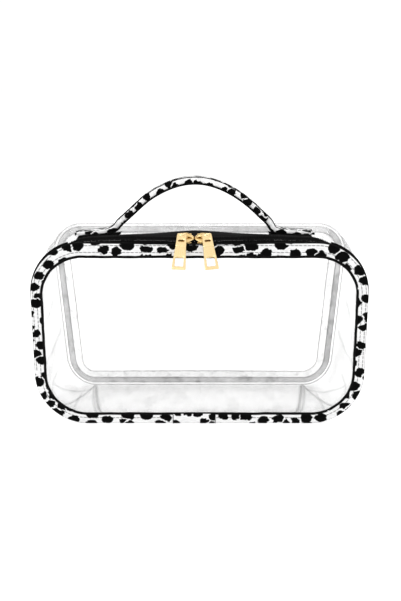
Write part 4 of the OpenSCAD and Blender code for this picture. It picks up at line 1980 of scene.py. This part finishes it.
@dataclass(frozen=True)
class PullCut:
    """Outline and window of one half of a pull: corner points in mm, across
    and along, in matching order, and the radius that rounds every corner.
    """

    outline: tuple[tuple[float, float], ...]
    window: tuple[tuple[float, float], ...]
    round_by: float

    def loop(self, points: tuple[tuple[float, float], ...]) -> Array:
        """A closed loop through the corners, each rounded by a quadratic arc
        of 7 points between straight runs of 5.

        Args:
            points: the corners, in order.

        Returns:
            The points of the loop.
        """
        corner = np.array(points) * MM
        before, after = np.roll(corner, 1, 0), np.roll(corner, -1, 0)

        def towards(other: Array) -> Array:
            """The point where the rounding starts, towards the other corner."""
            away = other - corner
            size = np.linalg.norm(away, axis=1, keepdims=True)
            return corner + away / size * np.minimum(self.round_by * MM, size * 0.4)

        a, b = towards(before), towards(after)
        t = np.linspace(0, 1, 7)[None, :, None]
        arc = a[:, None] * (1 - t) ** 2 + 2 * corner[:, None] * t * (1 - t) + b[:, None] * t**2
        u = np.linspace(0, 1, 7)[None, 1:-1, None]
        run = b[:, None] * (1 - u) + np.roll(a, -1, 0)[:, None] * u
        return np.concatenate([arc, run], 1).reshape(-1, 2)


PULL_FOOT = PullCut(
    ((-3.75, 9.0), (3.75, 9.0), (4.95, 28.0), (-4.95, 28.0)),
    ((-2.8, 18.3), (2.8, 18.3), (2.95, 25.6), (-2.95, 25.6)),
    0.8,
)
PULL_HEAD = PullCut(
    ((-3.3, -1.9), (3.3, -1.9), (3.85, 9.9), (-3.85, 9.9)),
    ((-2.05, 3.6), (2.05, 3.6), (2.05, 5.2), (-2.05, 5.2)),
    1.3,
)


@dataclass
class Sliders:
    """The two sliders, nose to nose, each with its bridge and pull."""

    sizes: Sizes
    dresser: Dresser
    length: float = 12.4 * MM
    half: float = 4.6 * MM
    lean: float = 44.0

    def on_chain(self, local: Array, x: float) -> Array:
        """Points along, across and up on the chain, put in the frame.

        Args:
            local: points about the slider's own middle.
            x: the slider's place along the zip.

        Returns:
            The points in the frame's axes.
        """
        s = self.sizes
        c, d = math.cos(s.tilt), math.sin(s.tilt)
        return np.stack(
            [
                x + local[..., 0],
                s.zip_y + local[..., 1] * c - local[..., 2] * d,
                s.zip_z + local[..., 1] * d + local[..., 2] * c,
            ],
            -1,
        )

    def plate(self, name: str, x: float, sign: float, low: float, high: float, dome: float) -> Any:
        """A slider plate: rings from the middle of its top out over a round
        edge to the middle of its underside. Its half width at a share of its
        length is wide at the shoulder, round at the tail and drawn in to a
        blunt nose.

        Args:
            name: the object's name.
            x: the slider's place along the zip.
            sign: -1 on the left, +1 on the right.
            low: the plate's underside.
            high: the plate's rim.
            dome: how far the middle rises.

        Returns:
            The object.
        """
        t = np.linspace(0, 2 * math.pi, 73)[:-1]
        e = self.length / 2
        along = np.cos(t)
        shoulder = np.clip((1 + along) / 2, 0, 1)
        wide = np.sqrt(np.clip(1 - along**2, 0, 1)) ** 0.45
        nose = 1 - 0.62 * np.clip(-along, 0, 1) ** 2.2
        wide = wide * np.where(along < 0, nose, 1 - 0.12 * shoulder**3)
        outline = np.stack([sign * along * e, np.sign(np.sin(t)) * wide * self.half], -1)
        rim = np.linspace(-math.pi / 2, math.pi / 2, 7)
        mid, tall = (low + high) / 2, (high - low) / 2
        rings = [(s, high + dome * (1 - s**2)) for s in (0.0, 0.3, 0.6, 0.85)]
        rings += [(1 - 0.05 + 0.05 * math.cos(a), mid - math.sin(-a) * tall) for a in rim[::-1]]
        rings += [(s, low) for s in (0.85, 0.5, 0.0)]
        share = np.array([r[0] for r in rings])[:, None, None]
        up = np.array([r[1] for r in rings])[:, None]
        local = np.concatenate(
            [outline[None] * share, np.broadcast_to(up[..., None], (len(rings), len(t), 1))], -1
        )
        return outward(surface(name, self.on_chain(local, x), (False, True)))

    def settle(self, made: Any, x: float) -> None:
        """Moves a piece made about the slider's own middle on to the chain.

        Args:
            made: the object.
            x: the slider's place along the zip.
        """
        co = np.zeros(len(made.data.vertices) * 3)
        made.data.vertices.foreach_get("co", co)
        made.data.vertices.foreach_set("co", self.on_chain(co.reshape(-1, 3), x).ravel())
        made.data.update()

    def cheek(self, name: str, x: float, sign: float, side: float) -> Any:
        """The rolled edge that joins a plate's side down over the coil.

        Args:
            name: the object's name.
            x: the slider's place along the zip.
            sign: -1 on the left, +1 on the right.
            side: -1 or +1, the side of the chain.

        Returns:
            The object.
        """
        a = np.linspace(-self.length * 0.30, self.length * 0.34, 24)
        out = self.half - 0.35 * MM - 0.5 * MM * (np.abs(a) / (5 * MM)) ** 3
        path = np.stack([-sign * a, side * out, np.full_like(a, 1.25 * MM)], -1)
        side_dir = np.broadcast_to([0.0, 1.0, 0.0], path.shape)
        lift = np.broadcast_to([0.0, 0.0, 1.0], path.shape)
        made = sweep(name, path, side_dir, lift, rounded_box(0.75 * MM, 2.1 * MM, 0.3 * MM, 4))
        self.settle(made, x)
        return outward(made)

    def bridge(self, name: str, x: float, sign: float) -> Any:
        """The bridge: a strap that springs from the tail, runs level through
        the pull's eye and comes down to the nose, thinning as it goes.

        Args:
            name: the object's name.
            x: the slider's place along the zip.
            sign: -1 on the left, +1 on the right.

        Returns:
            The object.
        """
        e = self.length / 2
        knots = np.array(
            [
                [0, 0.88, 2.6], [0.12, 0.93, 4.0], [0.25, 0.78, 4.8], [0.45, 0.35, 4.82],
                [0.65, -0.1, 4.8], [0.82, -0.55, 4.2], [1.0, -0.93, 2.7],
            ]
        )
        line = smooth_rows(knots, np.linspace(0, 1, 40))
        path = np.stack([sign * line[:, 0] * e, np.zeros(40), line[:, 1] * MM], -1)
        ahead = np.gradient(path, axis=0)
        ahead /= np.linalg.norm(ahead, axis=1, keepdims=True)
        side = np.broadcast_to([0.0, 1.0, 0.0], path.shape)
        lift = np.cross(ahead, side)
        t = np.linspace(0, 1, 40)
        size = 1 + 0.5 * np.clip((t - 0.7) / 0.3, 0, 1) ** 1.2
        size = size + 0.35 * np.clip((0.2 - t) / 0.2, 0, 1)
        bar = rounded_box(1.25 * MM, 1.15 * MM, 0.45 * MM, 4)
        profile = np.broadcast_to(bar, (40, 16, 2)).copy()
        profile[..., 0] *= size[:, None]
        made = sweep(name, path, side, lift, profile)
        self.settle(made, x)
        return outward(made)

    def recess(self, name: str, x: float, sign: float) -> Any:
        """A dark gold patch on a slider's nose, painted shade for a hollow
        there: rings of an oval, flat on top and closed at both middles.

        Args:
            name: the object's name.
            x: the slider's place along the zip.
            sign: -1 on the left, +1 on the right.

        Returns:
            The object.
        """
        t = np.linspace(0, 2 * math.pi, 25)[:-1]
        oval = np.stack([np.cos(t) * 1.35 * MM - sign * 2.9 * MM, np.sin(t) * 0.85 * MM], -1)
        middle = np.array([-sign * 2.9 * MM, 0.0])
        rings = ((0.0, 3.36), (0.6, 3.36), (0.92, 3.33), (1.0, 3.25), (1.0, 2.9), (0.0, 2.9))
        share = np.array([r[0] for r in rings])[:, None, None]
        up = np.array([r[1] for r in rings])[:, None, None] * MM
        flat = middle + (oval[None] - middle) * share
        local = np.concatenate([flat, np.broadcast_to(up, (len(rings), len(t), 1))], -1)
        return outward(surface(name, self.on_chain(local, x), (False, True)))

    def pull_frame(self, splay: float) -> tuple[Array, Array, Array]:
        """Directions across, along and out of a hanging pull.

        Args:
            splay: how far it hangs to the side, in degrees.

        Returns:
            The three unit directions.
        """
        a, b = math.radians(self.lean), math.radians(splay)
        down = np.array([0.0, -math.sin(a), -math.cos(a)])
        out = np.array([0.0, -math.cos(a), math.sin(a)])
        right = np.array([1.0, 0.0, 0.0])
        across = right * math.cos(b) - down * math.sin(b)
        along = down * math.cos(b) + right * math.sin(b)
        return across, along, out

    def pull_plate(self, name: str, centre: Array, splay: float, cut: "PullCut") -> Any:
        """One half of the pull's plate, with its window.

        A loop round the outline and a matching loop round the window are
        joined front and back over round edges, so the surface is a ring
        closed both ways.

        Args:
            name: the object's name.
            centre: the middle of the pin.
            splay: how far it hangs to the side, in degrees.
            cut: the outline and the window.

        Returns:
            The object.
        """
        across, along, out = self.pull_frame(splay)
        outer, inner = cut.loop(cut.outline), cut.loop(cut.window)
        half = 0.7 * MM
        top = [(0.0, 0.45), (0.06, 0.85), (0.14, 1.0), (0.5, 1.0), (0.86, 1.0), (0.94, 0.85)]
        ring = [(0.0, -0.45), *top, (1.0, 0.45), (1.0, -0.45)]
        ring += [(a, -b) for a, b in top[:0:-1]]
        share = np.array([p[0] for p in ring])[None, :, None]
        lift = np.array([p[1] for p in ring])[None, :] * half
        flat = outer[:, None] * (1 - share) + inner[:, None] * share
        points = (
            centre
            + flat[..., :1] * across
            + flat[..., 1:] * along
            + lift[..., None] * out
        )
        return outward(surface(name, points, (True, True)))

    def pull_eye(self, name: str, centre: Array, splay: float) -> Any:
        """The rolled eye of the pull: a ring about the pin, round-edged, a
        little narrower than the plate.

        Args:
            name: the object's name.
            centre: the middle of the pin.
            splay: how far it hangs to the side, in degrees.

        Returns:
            The object.
        """
        _, _, out = self.pull_frame(splay)
        a = math.radians(self.lean)
        down = np.array([0.0, -math.sin(a), -math.cos(a)])
        wide = 1.95 * MM
        inner, outer_r, c = 0.95 * MM, 1.62 * MM, 0.25 * MM
        ring = np.array(
            [
                [-wide, inner + c], [-wide, outer_r - c], [-wide + c, outer_r], [0, outer_r],
                [wide - c, outer_r], [wide, outer_r - c], [wide, inner + c], [wide - c, inner],
                [0, inner], [-wide + c, inner],
            ]
        )
        turn = np.linspace(0, 2 * math.pi, 33)[:-1]
        radial = np.cos(turn)[:, None] * down + np.sin(turn)[:, None] * out
        points = (
            centre
            + ring[None, :, :1] * np.array([1.0, 0, 0])
            + ring[None, :, 1:] * radial[:, None]
        )
        return outward(surface(name, points, (True, True)))

    def build(self) -> None:
        """Makes both sliders and pulls at the frame's own places."""
        for name, sign, splay in (("left", -1.0, -4.0), ("right", 1.0, 7.0)):
            low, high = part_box(f"{name}_slider_body")
            x = (low[0] + high[0]) / 2
            body = f"slider_{name}"
            plate = self.plate(f"{name}_slider_top", x, sign, 2.2 * MM, 3.05 * MM, 0.25 * MM)
            self.dresser.dress(plate, GOLD, "gold_slider", body, [f"{name}_slider_body"])
            # Painted shade: a dark gold patch that stands for a hollow in the nose.
            made = self.recess(f"{name}_slider_hollow_shade", x, sign)
            self.dresser.dress(made, GOLD_PAINTED_SHADE, "gold_slider", body)
            under = self.plate(f"{name}_slider_base", x, sign, -1.6 * MM, -0.85 * MM, 0.0)
            self.dresser.dress(under, GOLD, "gold_slider", body)
            for tag, side in (("front", -1.0), ("rear", 1.0)):
                made = self.cheek(f"{name}_slider_cheek_{tag}", x, sign, side)
                self.dresser.dress(made, GOLD, "gold_slider", body)
            made = self.bridge(f"{name}_bridge", x, sign)
            self.dresser.dress(made, GOLD, "gold_slider", body, [f"{name}_slider_bridge"])
            centre = self.on_chain(np.array([sign * 2.4 * MM, 0.0, 4.8 * MM]), x)
            made = self.pull_plate(f"{name}_pull_plate", centre, splay, PULL_FOOT)
            self.dresser.dress(made, GOLD_PULL, "gold_pull", f"pull_{name}", [f"{name}_pull"])
            made = self.pull_plate(f"{name}_pull_head", centre, splay, PULL_HEAD)
            self.dresser.dress(made, GOLD_PULL, "gold_pull", f"pull_{name}")
            made = self.pull_eye(f"{name}_pull_eye", centre, splay)
            self.dresser.dress(made, GOLD_PULL, "gold_pull", f"pull_{name}")


@dataclass
class Studio:
    """The floor, the lights and the camera."""

    dresser: Dresser
    distance: float = 0.571
    elevation: float = 14.0
    aim: tuple[float, float, float] = (0.0007, 0.008, 0.0836)
    lens: float = 44.6

    def build_floor(self) -> None:
        """Makes a floor that rises gently far behind the bag."""
        u = np.linspace(-3.0, 3.0, 25)[None, :]
        v = np.linspace(-2.0, 4.0, 40)[:, None]
        z = -0.0002 + 0.35 * np.clip((v - 1.6) / 2.4, 0, None) ** 2 + 0 * u
        made = surface("floor", np.stack(np.broadcast_arrays(u, v, z), -1))
        made.data.materials.append(self.dresser.finish(StudioFloor()))

    def build_light(
        self, name: str, place: tuple[float, float, float], size: tuple[float, float], power: float
    ) -> None:
        """A soft rectangular lamp that faces the bag.

        Args:
            name: the lamp's name.
            place: where it hangs, in metres.
            size: its width and height.
            power: its power in watts.
        """
        data = bpy.data.lights.new(name, "AREA")
        data.shape = "RECTANGLE"
        data.size, data.size_y = size
        data.energy = power
        lamp = bpy.data.objects.new(name, data)
        bpy.context.scene.collection.objects.link(lamp)
        lamp.location = place
        aim = np.array([0.0, 0.0, 0.08]) - np.array(place)

        lamp.rotation_euler = Vector(aim).to_track_quat("-Z", "Y").to_euler()

    def build_world(self) -> None:
        """Lights the room with white from above, dimmer towards the walls.

        The light from a direction of height h is 0.42 at the horizon and
        grows smoothly to 1.15 overhead; what is seen directly is plain white.
        """
        world = bpy.data.worlds.new("studio_world")
        world.use_nodes = True
        nodes, links = world.node_tree.nodes, world.node_tree.links
        back = nodes["Background"]
        back.inputs[0].default_value = (1.0, 1.0, 1.0, 1.0)
        height = nodes.new("ShaderNodeSeparateXYZ")
        links.new(nodes.new("ShaderNodeTexCoord").outputs["Generated"], height.inputs[0])
        spread = nodes.new("ShaderNodeMapRange")
        spread.interpolation_type = "SMOOTHSTEP"
        reach = (("From Min", 0.05), ("From Max", 0.75), ("To Min", 0.42), ("To Max", 1.15))
        for key, value in reach:
            spread.inputs[key].default_value = value
        links.new(height.outputs[2], spread.inputs["Value"])
        seen = nodes.new("ShaderNodeLightPath")
        pick = nodes.new("ShaderNodeMix")
        pick.inputs[3].default_value = 1.02
        links.new(seen.outputs["Is Camera Ray"], pick.inputs[0])
        links.new(spread.outputs[0], pick.inputs[2])
        links.new(pick.outputs[0], back.inputs[1])
        bpy.context.scene.world = world

    def build_camera(self) -> None:
        """Puts the camera in front of the bag, looking slightly down."""
        data = bpy.data.cameras.new("camera")
        data.lens = self.lens
        data.sensor_width = 36.0
        data.sensor_fit = "AUTO"
        data.clip_start = 0.01
        data.dof.use_dof = False
        cam = bpy.data.objects.new("camera", data)
        bpy.context.scene.collection.objects.link(cam)
        turn = math.radians(self.elevation)
        aim = np.array(self.aim)
        cam.location = aim + self.distance * np.array([0.0, -math.cos(turn), math.sin(turn)])
        cam.rotation_euler = (math.pi / 2 - turn, 0.0, 0.0)
        bpy.context.scene.camera = cam

    def build(self) -> None:
        """Sets the whole studio up."""
        self.build_floor()
        self.build_world()
        self.build_light("key", (-0.7, -0.9, 1.1), (0.7, 0.7), 7.0)
        self.build_light("fill", (1.0, -0.6, 0.7), (0.5, 0.9), 3.0)
        self.build_light("rim", (0.1, 0.9, 0.9), (0.9, 0.4), 5.0)
        self.build_camera()
        bpy.context.scene.view_settings.view_transform = "Standard"


def main() -> None:
    """Builds the studio and the bag, piece by piece."""
    logging.basicConfig(level=logging.INFO, format="%(name)s: %(message)s")
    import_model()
    dresser = Dresser()
    sizes = Sizes.from_frame()
    Studio(dresser).build()
    walls = ClearWalls(sizes, dresser)
    bindings = Bindings(sizes, dresser)
    bindings.build_front()
    bindings.build_edges()
    bindings.build_lap()
    bindings.build_back()
    bindings.build_stitches()
    walls.build_panels()
    walls.build_gusset()
    walls.build_top()
    chain = Zip(sizes, dresser, bindings)
    chain.build_front_tape()
    chain.build_rear_tape()
    chain.build_coils()
    chain.build_corner_tapes()
    handle = Handle(sizes, dresser, bindings)
    handle.build_strap()
    handle.build_lining()
    handle.build_patches()
    handle.build_stitches()
    Sliders(sizes, dresser).build()


if __name__ == "__main__":
    main()
